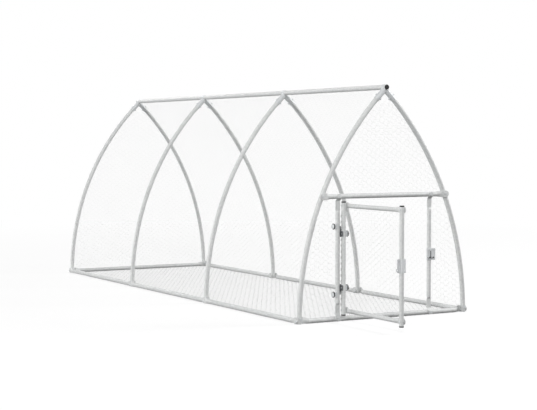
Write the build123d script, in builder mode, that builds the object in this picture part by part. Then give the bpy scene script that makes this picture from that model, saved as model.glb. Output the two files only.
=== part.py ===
import math
import os

from build123d import *

os.makedirs("parts", exist_ok=True)

# Frame: X across the cage, Y along it with the door end at -Y, Z up from the ground. Millimetres.
SPAN = 1000.0  # arch foot to arch foot, axis to axis
BAY = 1000.0  # arch to arch along the cage
BAYS = 3
FRONT_Y = -BAY * BAYS / 2
ARCH_RADIUS = 1583.0  # each arch half is one arc, measured at the tube axis
RIDGE_LIFT = 9.9  # ridge axis above the point where the arch axes meet
MIDDLE_GAP = 0.5  # from the middle of the cage to the top of an arch half
DOOR_WIDTH = 498.0  # stile to stile, axis to axis
POST_CLEAR = 30.0  # post axis beside the closed stile axis, on average
CROSSBAR_Z = 622.0

TUBE_R = 12.5  # arches, ridge, base tubes and crossbar
THIN_R = 11.0  # door posts, stiles and rails
TUBE_WALL = 1.5
SEAT = 0.05  # gap between two pieces that touch
NET_CLEAR = 0.3  # gap between a net's edge and a tube
CUT_PAST = 1.0  # a trimming cut reaches this far past what it trims
THROUGH = 200.0  # a hole this long goes through every piece in its way

# Flattened tube ends: height, thickness, length of flat past the bolt, length of the taper to round.
TAB_HEIGHT = 34.0
TAB_THICK = 5.0
TAB_FLAT = 20.0
TAB_TAPER = 30.0
TAB_OVERHANG = 11.0
POST_TAB_HEIGHT = 25.0
POST_TAB_OVERHANG = 12.0
POST_TAB_FLAT = 68.0
POST_TAB_TAPER = 10.0
POST_TAB_BEND = (22.0, 8.0)  # start and end of the bend to the front, from the screw
BAR_TAB_OVERHANG = 18.0
RAIL_TAB_HEIGHT = 32.0
RAIL_TAB_THICK = 4.0
RAIL_TAB_OVERHANG = 12.0

# Fasteners
BOLT_R = 3.0
BOLT_HOLE_R = 3.2
BOLT_HEAD_R = 6.0
BOLT_HEAD_H = 4.0
NUT_R = 5.8
NUT_H = 5.0
NUT_BORE_R = 3.1
BOLT_PAST = 1.0  # shank past its nut
SCREW_R = 2.5
SCREW_HOLE_R = 2.6
SCREW_HEAD_R = 5.0
SCREW_HEAD_H = 3.0
SCREW_GRIP = 10.0
SIDE_BOLT_Z = 12.0
END_BOLT_Z = 25.0

# Hexagonal netting, drawn coarser than the real wire
NET_THICK = 1.0
NET_PITCH = 125.0
NET_STRAND = 4.0
NET_EDGE = 4.0
SMALLEST_GAP = 0.2  # share of a full cell
SIDE_STRIPS = 5
FLOOR_PAST = 6.0  # floor net past the base tubes' axes
FLAT_CLEAR = 1.0  # net above and below a flat end or the clamp
TAPER_CLEAR = 2.0  # net beside the taper of the crossbar or a rail
FOOT_CLEAR = (4.0, 3.0)  # net beside and above the flat end of a base tube
BRACKET_CLEAR = (2.0, 8.0)  # side net beside and below a ridge bracket
NET_TOP_DROP = 4.0  # end net below a ridge bracket
KNOB_CLEAR = 2.0  # net round a hand knob

# Ridge brackets
BRACKET_THICK = 2.0
BRACKET_LENGTH = 60.0
BRACKET_SPLIT = 0.3
BRACKET_BOLT_BACK = 42.0
RIDGE_PAST = 17.0  # ridge pole past the end arches
RIDGE_WRAP = 7.0  # how far the bracket's saddle reaches below the ridge axis
SPIGOT_LENGTH = 40.0
SPIGOT_CLEAR = 0.1
SPIGOT_SHOULDER = 2.0
CAP_HEAD = 4.0
CAP_PLUG = 15.0
CAP_ROUND = 1.5

# Door, drawn open at a right angle to the front
PIN_SIDE = 17.5  # pin axis beside the post axis
PIN_R = 3.5
PIN_CLEAR = 0.08
HOOK_BEND = 7.0
HOOK_HOLE_CLEAR = 0.2
HOOK_Z = (473.0, 135.0)
LEAF_Z = (437.0, 169.0)
LEAF_HEIGHT = 26.0
LEAF_THICK = 2.0
LEAF_LENGTH = 30.0
PIN_TAIL = 4.0
LEAF_GAP = 0.5  # knuckle clear of the hook's bend
STILE_OUT = 15.5  # hinge stile axis in front of the pin, door open
STILE_SIDE = 7.5  # hinge stile axis beside the pin, door open
DOOR_LOW = 30.0
DOOR_DROP = 25.0  # top of the door below the crossbar axis
TOP_RAIL_DOWN = 20.0
BOTTOM_RAIL_UP = 27.0
DOOR_CAP_HEAD = 6.0
DOOR_CAP_PLUG = 8.0
KNOB_R = 15.0
KNOB_H = 6.0
KNOB_ROUND = 2.0
KNOB_FACE = 1.5  # closed face of a knob
KNOB_HOLE_CLEAR = 0.1
SHANK_SHORT = 2.0  # a shank stops this far short of the knob's outer face
SADDLE_WIDTH = 20.0
SADDLE_HEIGHT = 22.0
SADDLE_GRIP = 4.0  # how far a saddle reaches round its tube
POST_SADDLE = 11.0
DOOR_SADDLE = 6.3

# Latch
LATCH_LOW = 283.0
LATCH_HIGH = 343.0
PLATE_REACH = (-19.0, 31.0)  # from the post axis, as are the other X values of the latch
PLATE_THICK = 2.0
PLATE_ROUND = 3.0
STRAP_THICK = 1.2
LATCH_ROD_R = 3.0
LATCH_ROD_CLEAR = 0.06
LATCH_ROD_Z = 297.0
LATCH_TIP = -19.0
LATCH_TAIL = 18.0
LATCH_HANDLE = -1.5
LATCH_HANDLE_R = 2.0
LATCH_HANDLE_TOP = 331.0
GUIDE_REACH = ((-19.0, -15.8), (1.0, 6.0))
GUIDE_HALF = 4.75
GUIDE_ROUND = 3.0
KEEPER_SCREW_REACH = (-4.5, 24.5)
KEEPER_SCREW_Z = (287.5, 337.5)
SMALL_SCREW_R = 2.0
SMALL_HOLE_R = 2.1
SMALL_HEAD_R = 3.5
SMALL_HEAD_H = 2.5
SMALL_GRIP = 7.0
CLAMP_LOW = 284.0
CLAMP_HIGH = 348.0
CLAMP_THICK = 2.0
CLAMP_FRONT = 25.0
CLAMP_BACK = 22.0
CLAMP_EAR = 31.5  # reach of the ear round the bolt's eye
CLAMP_EAR_HALF = 6.0
CLAMP_EAR_LAP = 1.0  # the ear runs this far into the flange
CLAMP_SCREW_X = (-18.0, 17.0)
CLAMP_SCREW_Z = (291.0, 341.0)
LATCH_EYE_R = 3.6

# Values that follow from the ones above
POST_X = DOOR_WIDTH / 2 + POST_CLEAR
PIN_X = PIN_SIDE - POST_X
DOOR_HIGH = CROSSBAR_Z - DOOR_DROP
RAIL_Z = (DOOR_HIGH - TOP_RAIL_DOWN, DOOR_LOW + BOTTOM_RAIL_UP)
PLATE_X = (POST_X + PLATE_REACH[0], POST_X + PLATE_REACH[1])
KEEPER_SCREW_X = (POST_X + KEEPER_SCREW_REACH[0], POST_X + KEEPER_SCREW_REACH[1])
LATCH_TIP_X = POST_X + LATCH_TIP
LATCH_TAIL_X = POST_X + LATCH_TAIL
LATCH_HANDLE_X = POST_X + LATCH_HANDLE
FLOOR_TOP = NET_THICK + SEAT
BASE_Z = FLOOR_TOP + TUBE_R
ARC_PAST = ARCH_RADIUS - SPAN / 2  # arc centre past the middle of the cage
RIDGE_Z = FLOOR_TOP + math.sqrt(ARCH_RADIUS**2 - ARC_PAST**2) + RIDGE_LIFT
ARCH_TOP = math.acos((ARC_PAST + MIDDLE_GAP) / (ARCH_RADIUS - TUBE_R))
BASE_JOGGLE = TUBE_R + SEAT + TAB_THICK / 2
FOOT_LEAN = TAB_HEIGHT**2 / (2 * ARCH_RADIUS) + SEAT  # the arch leans in by this much at the top of a tab
RAIL_JOGGLE = THIN_R + SEAT + RAIL_TAB_THICK / 2
BASE_LIFT = TAB_HEIGHT / 2 - TUBE_R
BRACKET_R = TUBE_R + SEAT + BRACKET_THICK
HINGE_STILE = (PIN_X + STILE_SIDE, FRONT_Y - STILE_OUT)
FREE_STILE = (HINGE_STILE[0], HINGE_STILE[1] - DOOR_WIDTH)
PLATE_FRONT = FRONT_Y - THIN_R - SEAT - PLATE_THICK
LATCH_ROD_Y = PLATE_FRONT - SEAT - GUIDE_HALF
LATCH_EYE_X = LATCH_ROD_Y - (FRONT_Y + STILE_SIDE)  # eye in the clamp's front flange, from the stile axis

# A round piece stands up from its place, or hangs down from it.
MIDDLE_UP = (Align.CENTER, Align.CENTER, Align.MIN)
MIDDLE_DOWN = (Align.CENTER, Align.CENTER, Align.MAX)


def save(part, label):
    part.label = label
    export_step(part, f"parts/{label}.step")
    print(label, len(part.solids()))


def arch_y(index):
    return FRONT_Y + BAY * index


def arch_plane(side, angle, y, out=0.0):
    """Plane square to the arch radius, facing outward, at a distance from the tube axis."""
    reach = ARCH_RADIUS + out
    origin = (side * (reach * math.cos(angle) - ARC_PAST), y, FLOOR_TOP + reach * math.sin(angle))
    return Plane(origin=origin, x_dir=(0, 1, 0), z_dir=(side * math.cos(angle), 0, math.sin(angle)))


def arch_x(z, out=0.0):
    return math.sqrt((ARCH_RADIUS + out) ** 2 - (z - FLOOR_TOP) ** 2) - ARC_PAST


def turned(origin, direction):
    return Plane(origin=origin, z_dir=direction).location


BRACKET_LOW = ARCH_TOP - BRACKET_LENGTH / ARCH_RADIUS
BRACKET_BOLT = ARCH_TOP - BRACKET_BOLT_BACK / ARCH_RADIUS
CROSSBAR_X = arch_x(CROSSBAR_Z)
ARCH_AXIS = Axis((-ARC_PAST, 0, FLOOR_TOP), (0, -1, 0))


# Arches: right halves, mirrored to the left, drilled for base bolts, crossbar screws and ridge bolts.
def arch_half(index):
    y = arch_y(index)
    foot_x = SPAN / 2
    with BuildPart() as arch:
        with BuildSketch(Plane.XY.offset(FLOOR_TOP)):
            with Locations((foot_x, y)):
                Circle(TUBE_R)
                Circle(TUBE_R - TUBE_WALL, mode=Mode.SUBTRACT)
        revolve(axis=ARCH_AXIS, revolution_arc=math.degrees(ARCH_TOP))
        with Locations(turned((foot_x, y, SIDE_BOLT_Z), (1, 0, 0))):
            Cylinder(BOLT_HOLE_R, 4 * TUBE_R, mode=Mode.SUBTRACT)
        with Locations(arch_plane(1, BRACKET_BOLT, y).location):
            Cylinder(BOLT_HOLE_R, 4 * TUBE_R, mode=Mode.SUBTRACT)
        if index in (0, BAYS):
            with Locations(turned((foot_x, y, END_BOLT_Z), (0, 1, 0))):
                Cylinder(BOLT_HOLE_R, 4 * TUBE_R, mode=Mode.SUBTRACT)
        if index == 0:
            with Locations(turned((CROSSBAR_X, y - TUBE_R, CROSSBAR_Z), (0, 1, 0))):
                Cylinder(SCREW_HOLE_R, TUBE_R, mode=Mode.SUBTRACT)
    return arch.part


for number in range(BAYS + 1):
    arch_right = arch_half(number)
    save(arch_right, f"arch_right_{number + 1}")
    with BuildPart() as arch_left:
        mirror(arch_right, about=Plane.YZ)
    save(arch_left.part, f"arch_left_{number + 1}")


# Sections of a flattened end: a circle in four arcs, which a loft joins corner by corner to a flat slot.
def round_section(radius):
    slant = radius * math.sqrt(0.5)
    with BuildSketch() as section:
        with BuildLine():
            ThreePointArc((slant, -slant), (radius, 0), (slant, slant))
            ThreePointArc((slant, slant), (0, radius), (-slant, slant))
            ThreePointArc((-slant, slant), (-radius, 0), (-slant, -slant))
            ThreePointArc((-slant, -slant), (0, -radius), (slant, -slant))
        make_face()
    return section.sketch


def flat_section(side, lift, height, thick):
    straight = (height - thick) / 2
    near = side + thick / 2
    far = side - thick / 2
    top = lift + straight
    low = lift - straight
    with BuildSketch() as section:
        with BuildLine():
            Line((near, low), (near, top))
            ThreePointArc((near, top), (side, lift + height / 2), (far, top))
            Line((far, top), (far, low))
            ThreePointArc((far, low), (side, lift - height / 2), (near, low))
        make_face()
    return section.sketch


def round_tip(tip, way, lift, height):
    """Cuts the corners off a flat end, so that its tip is a half circle."""
    with BuildSketch(Plane.XZ) as corners:
        with Locations((tip + way * (height / 4 - CUT_PAST), lift)):
            Rectangle(height / 2 + 2 * CUT_PAST, height + 2 * CUT_PAST)
        with Locations((tip + way * height / 2, lift)):
            Circle(height / 2, mode=Mode.SUBTRACT)
    extrude(corners.sketch, amount=2 * TAB_HEIGHT, both=True, mode=Mode.SUBTRACT)


# A tube along local X between two bolts, each end pressed flat and set sideways by its joggle.
def flat_end_tube(length, radius, height, thick, past, joggles, lift, hole_lift, hole_r):
    round_start = TAB_FLAT + TAB_TAPER
    with BuildPart() as tube:
        with BuildSketch(Plane.YZ.offset(round_start)):
            Circle(radius)
        extrude(amount=length - 2 * round_start)
        for end in (0, 1):
            way = 1 if end == 0 else -1
            origin = length * end
            side = joggles[end]
            with BuildSketch(Plane.YZ.offset(origin + way * round_start)):
                add(round_section(radius))
            with BuildSketch(Plane.YZ.offset(origin + way * TAB_FLAT)):
                add(flat_section(side, lift, height, thick))
            loft()
            with BuildSketch(Plane.YZ.offset(origin + way * TAB_FLAT)):
                with Locations((side, lift)):
                    SlotOverall(height, thick, rotation=90)
            extrude(amount=-way * (TAB_FLAT + past[end]))
            round_tip(origin - way * past[end], way, lift, height)
            with Locations(turned((origin, side, hole_lift), (0, 1, 0))):
                Cylinder(hole_r, 3 * thick, mode=Mode.SUBTRACT)
        with BuildSketch(Plane.YZ.offset(round_start)):
            Circle(radius - TUBE_WALL)
        extrude(amount=length - 2 * round_start, mode=Mode.SUBTRACT)
    return tube.part


# Base tubes: corners and the rear end of every side tube lie on the outer face of the foot.
def base_tube(length, joggles, bolt_z):
    past = (TAB_OVERHANG, TAB_OVERHANG)
    hole = bolt_z - BASE_Z
    return flat_end_tube(length, TUBE_R, TAB_HEIGHT, TAB_THICK, past, joggles, BASE_LIFT, hole, BOLT_HOLE_R)


outer_ends = (BASE_JOGGLE, BASE_JOGGLE)
inner_outer = (-BASE_JOGGLE - FOOT_LEAN, BASE_JOGGLE)
first_side_tube = base_tube(BAY, outer_ends, SIDE_BOLT_Z)
next_side_tube = base_tube(BAY, inner_outer, SIDE_BOLT_Z)
for number in range(BAYS):
    blank = first_side_tube if number == 0 else next_side_tube
    lay = Plane(origin=(-SPAN / 2, arch_y(number), BASE_Z), x_dir=(0, 1, 0), z_dir=(0, 0, 1))
    with BuildPart() as base_left:
        add(blank.moved(lay.location))
    save(base_left.part, f"base_left_{number + 1}")
    with BuildPart() as base_right:
        mirror(base_left.part, about=Plane.YZ)
    save(base_right.part, f"base_right_{number + 1}")

end_tube = base_tube(SPAN, outer_ends, END_BOLT_Z)
with BuildPart() as base_front:
    add(end_tube.moved(Location((-SPAN / 2, FRONT_Y, BASE_Z))))
    for side in (-1, 1):
        with Locations(turned((side * POST_X, FRONT_Y - TUBE_R, BASE_Z), (0, 1, 0))):
            Cylinder(SCREW_HOLE_R, TUBE_R, mode=Mode.SUBTRACT)
save(base_front.part, "base_front")

with BuildPart() as base_rear:
    add(mirror(end_tube.moved(Location((-SPAN / 2, FRONT_Y, BASE_Z))), about=Plane.XZ))
save(base_rear.part, "base_rear")

# Crossbar over the doorway: its flat ends lie on the front of the first arch.
bar_past = (BAR_TAB_OVERHANG, BAR_TAB_OVERHANG)
bar_length = 2 * CROSSBAR_X
front_ends = (-BASE_JOGGLE, -BASE_JOGGLE)
bar_blank = flat_end_tube(
    bar_length, TUBE_R, TAB_HEIGHT, TAB_THICK, bar_past, front_ends, 0, 0, SCREW_HOLE_R
)
with BuildPart() as crossbar:
    add(bar_blank.moved(Location((-CROSSBAR_X, FRONT_Y, CROSSBAR_Z))))
    for side in (-1, 1):
        with Locations(turned((side * POST_X, FRONT_Y - TUBE_R, CROSSBAR_Z), (0, 1, 0))):
            Cylinder(SCREW_HOLE_R, TUBE_R, mode=Mode.SUBTRACT)
save(crossbar.part, "crossbar")

# Door posts: each end is pressed flat in line with the tube, then bent to the front of the tube it crosses.
post_length = CROSSBAR_Z - BASE_Z
post_round = POST_TAB_FLAT + POST_TAB_TAPER
half_thick = TAB_THICK / 2
bend_start, bend_end = POST_TAB_BEND
tab_back = BASE_JOGGLE - half_thick
tab_front = BASE_JOGGLE + half_thick
with BuildPart() as post_blank:
    with BuildSketch(Plane.YZ.offset(post_round)):
        Circle(THIN_R)
    extrude(amount=post_length - 2 * post_round)
    for origin, way, past in ((0, 1, TAB_OVERHANG), (post_length, -1, POST_TAB_OVERHANG)):
        with BuildSketch(Plane.YZ.offset(origin + way * post_round)):
            add(round_section(THIN_R))
        with BuildSketch(Plane.YZ.offset(origin + way * POST_TAB_FLAT)):
            add(flat_section(0, 0, POST_TAB_HEIGHT, TAB_THICK))
        loft()
        tip = origin - way * past
        outline = [
            (origin + way * POST_TAB_FLAT, half_thick),
            (origin + way * bend_start, half_thick),
            (origin + way * bend_end, tab_front),
            (tip, tab_front),
            (tip, tab_back),
            (origin + way * bend_end, tab_back),
            (origin + way * bend_start, -half_thick),
            (origin + way * POST_TAB_FLAT, -half_thick),
        ]
        with BuildSketch(Plane.XY):
            with BuildLine():
                Polyline(*outline, close=True)
            make_face()
        extrude(amount=POST_TAB_HEIGHT / 2, both=True)
        round_tip(tip, way, 0, POST_TAB_HEIGHT)
        with Locations(turned((origin, BASE_JOGGLE, 0), (0, 1, 0))):
            Cylinder(SCREW_HOLE_R, 3 * TAB_THICK, mode=Mode.SUBTRACT)
    with BuildSketch(Plane.YZ.offset(post_round)):
        Circle(THIN_R - TUBE_WALL)
    extrude(amount=post_length - 2 * post_round, mode=Mode.SUBTRACT)
with BuildPart() as post_left:
    stand = Plane(origin=(-POST_X, FRONT_Y, BASE_Z), x_dir=(0, 0, 1), z_dir=(1, 0, 0))
    add(post_blank.part.moved(stand.location))
    for z in HOOK_Z:
        with Locations(turned((-POST_X, FRONT_Y, z), (1, 0, 0))):
            Cylinder(PIN_R + HOOK_HOLE_CLEAR, 4 * THIN_R, mode=Mode.SUBTRACT)
save(post_left.part, "post_left")

with BuildPart() as post_right:
    stand = Plane(origin=(POST_X, FRONT_Y, BASE_Z), x_dir=(0, 0, 1), z_dir=(1, 0, 0))
    add(post_blank.part.moved(stand.location))
    for z in KEEPER_SCREW_Z:
        with Locations(turned((KEEPER_SCREW_X[0], FRONT_Y - THIN_R, z), (0, 1, 0))):
            Cylinder(SMALL_HOLE_R, THIN_R, mode=Mode.SUBTRACT)
save(post_right.part, "post_right")


# Fasteners stand with the head's underside on a plane and the shank running in from it.
def put_bolt(place, length, shank_r, head_r, head_h):
    with Locations(place):
        Cylinder(head_r, head_h, align=MIDDLE_UP)
        Cylinder(shank_r, length, align=MIDDLE_DOWN)


def hex_nut(radius, height, bore):
    with BuildPart() as nut:
        with BuildSketch():
            RegularPolygon(radius, 6)
            Circle(bore, mode=Mode.SUBTRACT)
        extrude(amount=height)
    return nut.part


# Self-tapping screws through the flat ends of the crossbar and the posts.
screw_face = FRONT_Y - BASE_JOGGLE - TAB_THICK / 2 - SEAT
with BuildPart() as frame_screws:
    for side in (-1, 1):
        for x, z in ((CROSSBAR_X, CROSSBAR_Z), (POST_X, CROSSBAR_Z), (POST_X, BASE_Z)):
            head = turned((side * x, screw_face, z), (0, -1, 0))
            put_bolt(head, SCREW_GRIP, SCREW_R, SCREW_HEAD_R, SCREW_HEAD_H)
save(frame_screws.part, "frame_screws")


# Ridge pole: lengths that meet over the middle arches, each pushed on the swaged end of the one before.
def ridge_length(start, stop, spigot):
    with BuildPart() as pole:
        with BuildSketch(Plane.XZ.offset(-start)):
            with Locations((0, RIDGE_Z)):
                Circle(TUBE_R)
                Circle(TUBE_R - TUBE_WALL, mode=Mode.SUBTRACT)
        extrude(amount=start - stop)
        if spigot:
            with BuildSketch(Plane.XZ.offset(-stop + SPIGOT_SHOULDER)):
                with Locations((0, RIDGE_Z)):
                    Circle(TUBE_R - TUBE_WALL)
                    Circle(TUBE_R - 2 * TUBE_WALL, mode=Mode.SUBTRACT)
            extrude(amount=-SPIGOT_SHOULDER)
            with BuildSketch(Plane.XZ.offset(-stop)):
                with Locations((0, RIDGE_Z)):
                    Circle(TUBE_R - TUBE_WALL - SPIGOT_CLEAR)
                    Circle(TUBE_R - 2 * TUBE_WALL, mode=Mode.SUBTRACT)
            extrude(amount=-SPIGOT_LENGTH)
    return pole.part


save(ridge_length(FRONT_Y - RIDGE_PAST, arch_y(1), True), "ridge_front")
save(ridge_length(arch_y(1) + SEAT, arch_y(2), True), "ridge_middle")
save(ridge_length(arch_y(2) + SEAT, -FRONT_Y + RIDGE_PAST, False), "ridge_rear")

with BuildPart() as ridge_caps:
    for way in (-1, 1):
        with Locations(turned((0, way * (-FRONT_Y + RIDGE_PAST + SEAT), RIDGE_Z), (0, way, 0))):
            Cylinder(TUBE_R, CAP_HEAD, align=MIDDLE_UP)
            Cylinder(TUBE_R - TUBE_WALL - SEAT, CAP_PLUG, align=MIDDLE_DOWN)
    rims = ridge_caps.faces().filter_by(Axis.Y)
    fillet([rims.sort_by(Axis.Y)[i].edges() for i in (0, -1)], CAP_ROUND)
save(ridge_caps.part, "ridge_end_caps")


# Ridge bracket shells: half sleeves on both arch halves, the upper one with a saddle over the ridge.
def bracket_plane(angle):
    cosine = math.cos(angle)
    sine = math.sin(angle)
    origin = (ARCH_RADIUS * cosine - ARC_PAST, 0, FLOOR_TOP + ARCH_RADIUS * sine)
    return Plane(origin=origin, x_dir=(cosine, 0, sine), z_dir=(-sine, 0, cosine))


meet = math.acos(ARC_PAST / (ARCH_RADIUS + BRACKET_SPLIT))
sweep_angle = math.degrees(meet - BRACKET_LOW)


def half_sleeve(out):
    with BuildPart() as sleeve:
        with BuildSketch(bracket_plane(BRACKET_LOW)):
            Circle(BRACKET_R)
            Circle(BRACKET_R - BRACKET_THICK, mode=Mode.SUBTRACT)
            with Locations((-out * (BRACKET_R - BRACKET_SPLIT), 0)):
                Rectangle(2 * BRACKET_R, 3 * BRACKET_R, mode=Mode.SUBTRACT)
        revolve(axis=ARCH_AXIS, revolution_arc=sweep_angle)
        with Locations(arch_plane(1, BRACKET_BOLT, 0).location):
            Cylinder(BOLT_HOLE_R, 4 * BRACKET_R, mode=Mode.SUBTRACT)
        split(bisect_by=Plane.YZ, keep=Keep.TOP)
    return sleeve.part


outer_sleeve = half_sleeve(1)
inner_sleeve = half_sleeve(-1)
with BuildPart() as upper_blank:
    with BuildSketch(Plane.XZ):
        with Locations((0, RIDGE_Z)):
            Circle(BRACKET_R)
        with Locations((0, RIDGE_Z - RIDGE_WRAP - BRACKET_R)):
            Rectangle(3 * BRACKET_R, 2 * BRACKET_R, mode=Mode.SUBTRACT)
    extrude(amount=BRACKET_R, both=True)
    add(outer_sleeve)
    mirror(outer_sleeve, about=Plane.YZ)
    with Locations(turned((0, 0, RIDGE_Z), (0, 1, 0))):
        Cylinder(BRACKET_R - BRACKET_THICK, 4 * BRACKET_R, mode=Mode.SUBTRACT)
with BuildPart() as lower_blank:
    add(inner_sleeve)
    mirror(inner_sleeve, about=Plane.YZ)
    with Locations(turned((0, 0, RIDGE_Z), (0, 1, 0))):
        Cylinder(BRACKET_R - BRACKET_THICK, 4 * BRACKET_R, mode=Mode.SUBTRACT)

with BuildPart() as ridge_bracket_upper:
    for number in range(BAYS + 1):
        add(upper_blank.part.moved(Location((0, arch_y(number), 0))))
save(ridge_bracket_upper.part, "ridge_bracket_upper")

with BuildPart() as ridge_bracket_lower:
    for number in range(BAYS + 1):
        add(lower_blank.part.moved(Location((0, arch_y(number), 0))))
save(ridge_bracket_lower.part, "ridge_bracket_lower")


# All M6 bolts and nuts of the frame: base tubes on the feet, brackets on the arch tops.
outer_face = TUBE_R + 2 * SEAT + TAB_THICK
foot_face = TUBE_R + SEAT
nut_places = []
with BuildPart() as frame_bolts:
    for side in (-1, 1):
        for number in range(BAYS + 1):
            corner = number in (0, BAYS)
            inner_face = FOOT_LEAN + (foot_face if corner else outer_face)
            y = arch_y(number)
            head = turned((side * (SPAN / 2 + outer_face), y, SIDE_BOLT_Z), (side, 0, 0))
            put_bolt(head, outer_face + inner_face + NUT_H + BOLT_PAST, BOLT_R, BOLT_HEAD_R, BOLT_HEAD_H)
            nut_places.append(turned((side * (SPAN / 2 - inner_face), y, SIDE_BOLT_Z), (-side, 0, 0)))
            head = arch_plane(side, BRACKET_BOLT, y, BRACKET_R + SEAT).location
            put_bolt(head, 2 * BRACKET_R + NUT_H + BOLT_PAST, BOLT_R, BOLT_HEAD_R, BOLT_HEAD_H)
            nut_places.append(arch_plane(side, BRACKET_BOLT, y, -BRACKET_R - SEAT - NUT_H).location)
            if corner:
                out = -1 if number == 0 else 1
                head = turned((side * SPAN / 2, y + out * foot_face, END_BOLT_Z), (0, out, 0))
                put_bolt(head, foot_face + outer_face + NUT_H + BOLT_PAST, BOLT_R, BOLT_HEAD_R, BOLT_HEAD_H)
                nut_places.append(turned((side * SPAN / 2, y - out * outer_face, END_BOLT_Z), (0, -out, 0)))
save(frame_bolts.part, "frame_bolts")

m6_nut = hex_nut(NUT_R, NUT_H, NUT_BORE_R)
with BuildPart() as frame_nuts:
    for place in nut_places:
        add(m6_nut.moved(place))
save(frame_nuts.part, "frame_nuts")


# Netting: one flat face, holed by every hexagon of the pattern that falls inside it.
WINDOW_R = ARCH_RADIUS - TUBE_R - NET_CLEAR
CELL_R = (NET_PITCH - NET_STRAND) / math.sqrt(3)
CELL_STEP = NET_PITCH * math.sqrt(3) / 2
CELL_AREA = 1.5 * math.sqrt(3) * CELL_R**2


with BuildSketch() as cell_sketch:
    RegularPolygon(CELL_R, 6)
cell_face = cell_sketch.sketch.face()


def net_outline(box, notches, arched, inset):
    """A rectangle, cut to the inside of an arch where asked, less notches round other pieces."""
    left, right, low, high = box
    with BuildSketch() as outline:
        with Locations(((left + right) / 2, (low + high) / 2)):
            Rectangle(right - left - 2 * inset, high - low - 2 * inset)
        if arched:
            for side in (-1, 1):
                with Locations((side * ARC_PAST, FLOOR_TOP)):
                    Circle(WINDOW_R - inset, mode=Mode.INTERSECT)
        for left, right, low, high in notches:
            with Locations(((left + right) / 2, (low + high) / 2)):
                Rectangle(right - left + 2 * inset, high - low + 2 * inset, mode=Mode.SUBTRACT)
    return outline.sketch.faces().sort_by(SortBy.AREA)[-1]


def net_panel(plane, box, notches, arched):
    """The twisted strands of the pattern run along the plane's X."""
    edge = net_outline(box, notches, arched, 0)
    inside = net_outline(box, notches, arched, NET_EDGE)
    rim = inside.outer_wire()
    reach = inside.bounding_box()
    columns = range(math.floor(reach.min.X / CELL_STEP), math.ceil(reach.max.X / CELL_STEP) + 1)
    rows = range(math.floor(reach.min.Y / NET_PITCH) - 1, math.ceil(reach.max.Y / NET_PITCH) + 1)
    gaps = []
    for column in columns:
        for row in rows:
            centre = (column * CELL_STEP, (row + 0.5 * (column % 2)) * NET_PITCH, 0)
            cell = cell_face.moved(Location(centre))
            if rim.distance_to(Vertex(*centre)) > CELL_R:
                if inside.is_inside(centre):
                    gaps.append(cell.outer_wire())
                continue
            shared = cell.intersect(inside)
            for face in shared.faces() if shared else []:
                if face.area > SMALLEST_GAP * CELL_AREA:
                    gaps.append(face.outer_wire())
    net_face = Face(edge.outer_wire(), gaps)
    with BuildPart() as net:
        with BuildSketch(plane):
            add(net_face)
        extrude(amount=NET_THICK)
    return net.part.solid()


# Floor nets lie flat on the ground under the base tubes.
floor_length = (BAY * BAYS + 2 * FLOOR_PAST) / BAYS
floor_plane = Plane(origin=(0, 0, 0), x_dir=(0, 1, 0), z_dir=(0, 0, 1))
floor_half = (floor_length - NET_CLEAR) / 2
floor_side = SPAN / 2 + FLOOR_PAST
floor_panel = net_panel(floor_plane, (-floor_half, floor_half, -floor_side, floor_side), [], False)
floor_panels = []
for number in range(BAYS):
    floor_panels.append(floor_panel.moved(Location((0, floor_length * (number - (BAYS - 1) / 2), 0))))
save(Compound(floor_panels), "floor_net")

# Side nets: flat strips along the cage, each touching the outside of the arches at its middle.
STRIP_STEP = ARCH_TOP / SIDE_STRIPS
STRIP_HALF = (ARCH_RADIUS + TUBE_R + SEAT) * math.tan(STRIP_STEP / 2) - NET_CLEAR / 2
FOOT_NOTCH = (TAB_FLAT + TAB_TAPER + FOOT_CLEAR[0], TAB_HEIGHT + FOOT_CLEAR[1])
BRACKET_NOTCH = (BRACKET_R + BRACKET_CLEAR[0], BRACKET_LENGTH + BRACKET_CLEAR[1])


strip_end = (BAY - NET_CLEAR) / 2
strip_box = (-strip_end, strip_end, -STRIP_HALF, STRIP_HALF)


def corner_notches(size, low, high):
    return [(-BAY, size[0] - BAY / 2, low, high), (BAY / 2 - size[0], BAY, low, high)]


foot_corners = corner_notches(FOOT_NOTCH, -2 * STRIP_HALF, FOOT_NOTCH[1] - STRIP_HALF)
bracket_corners = corner_notches(BRACKET_NOTCH, STRIP_HALF - BRACKET_NOTCH[1], 2 * STRIP_HALF)
plain_strip = net_panel(Plane.XY, strip_box, [], False)
strips = [plain_strip] * SIDE_STRIPS
strips[0] = net_panel(Plane.XY, strip_box, foot_corners, False)
strips[-1] = net_panel(Plane.XY, strip_box, bracket_corners, False)
side_strips = []
for number in range(BAYS):
    for index in range(SIDE_STRIPS):
        place = arch_plane(1, STRIP_STEP * (index + 0.5), arch_y(number) + BAY / 2, TUBE_R + SEAT)
        side_strips.append(strips[index].moved(place.location))
side_net_right = Compound(side_strips)
save(side_net_right, "side_net_right")
save(mirror(side_net_right, about=Plane.YZ), "side_net_left")

# End nets lie in the middle plane of the end arches.
BASE_TOP = BASE_Z + TUBE_R + NET_CLEAR
NET_TOP = FLOOR_TOP + (ARCH_RADIUS - BRACKET_R) * math.sin(BRACKET_LOW) - NET_TOP_DROP
TAB_TOP = FLOOR_TOP + TAB_HEIGHT + FLAT_CLEAR
BAR_HALF = TUBE_R + NET_CLEAR
BAR_TAB_HALF = TAB_HEIGHT / 2 + FLAT_CLEAR
CORNER_X = SPAN / 2 - TAB_FLAT - TAB_TAPER - FOOT_CLEAR[0]
BAR_CORNER_X = CROSSBAR_X - TAB_FLAT - TAB_TAPER - TAPER_CLEAR
POST_EDGE = POST_X + POST_TAB_HEIGHT / 2 + NET_CLEAR
rear_plane = Plane.XZ.offset(FRONT_Y - NET_THICK / 2)
front_plane = Plane.XZ.offset(-FRONT_Y - NET_THICK / 2)


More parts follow.
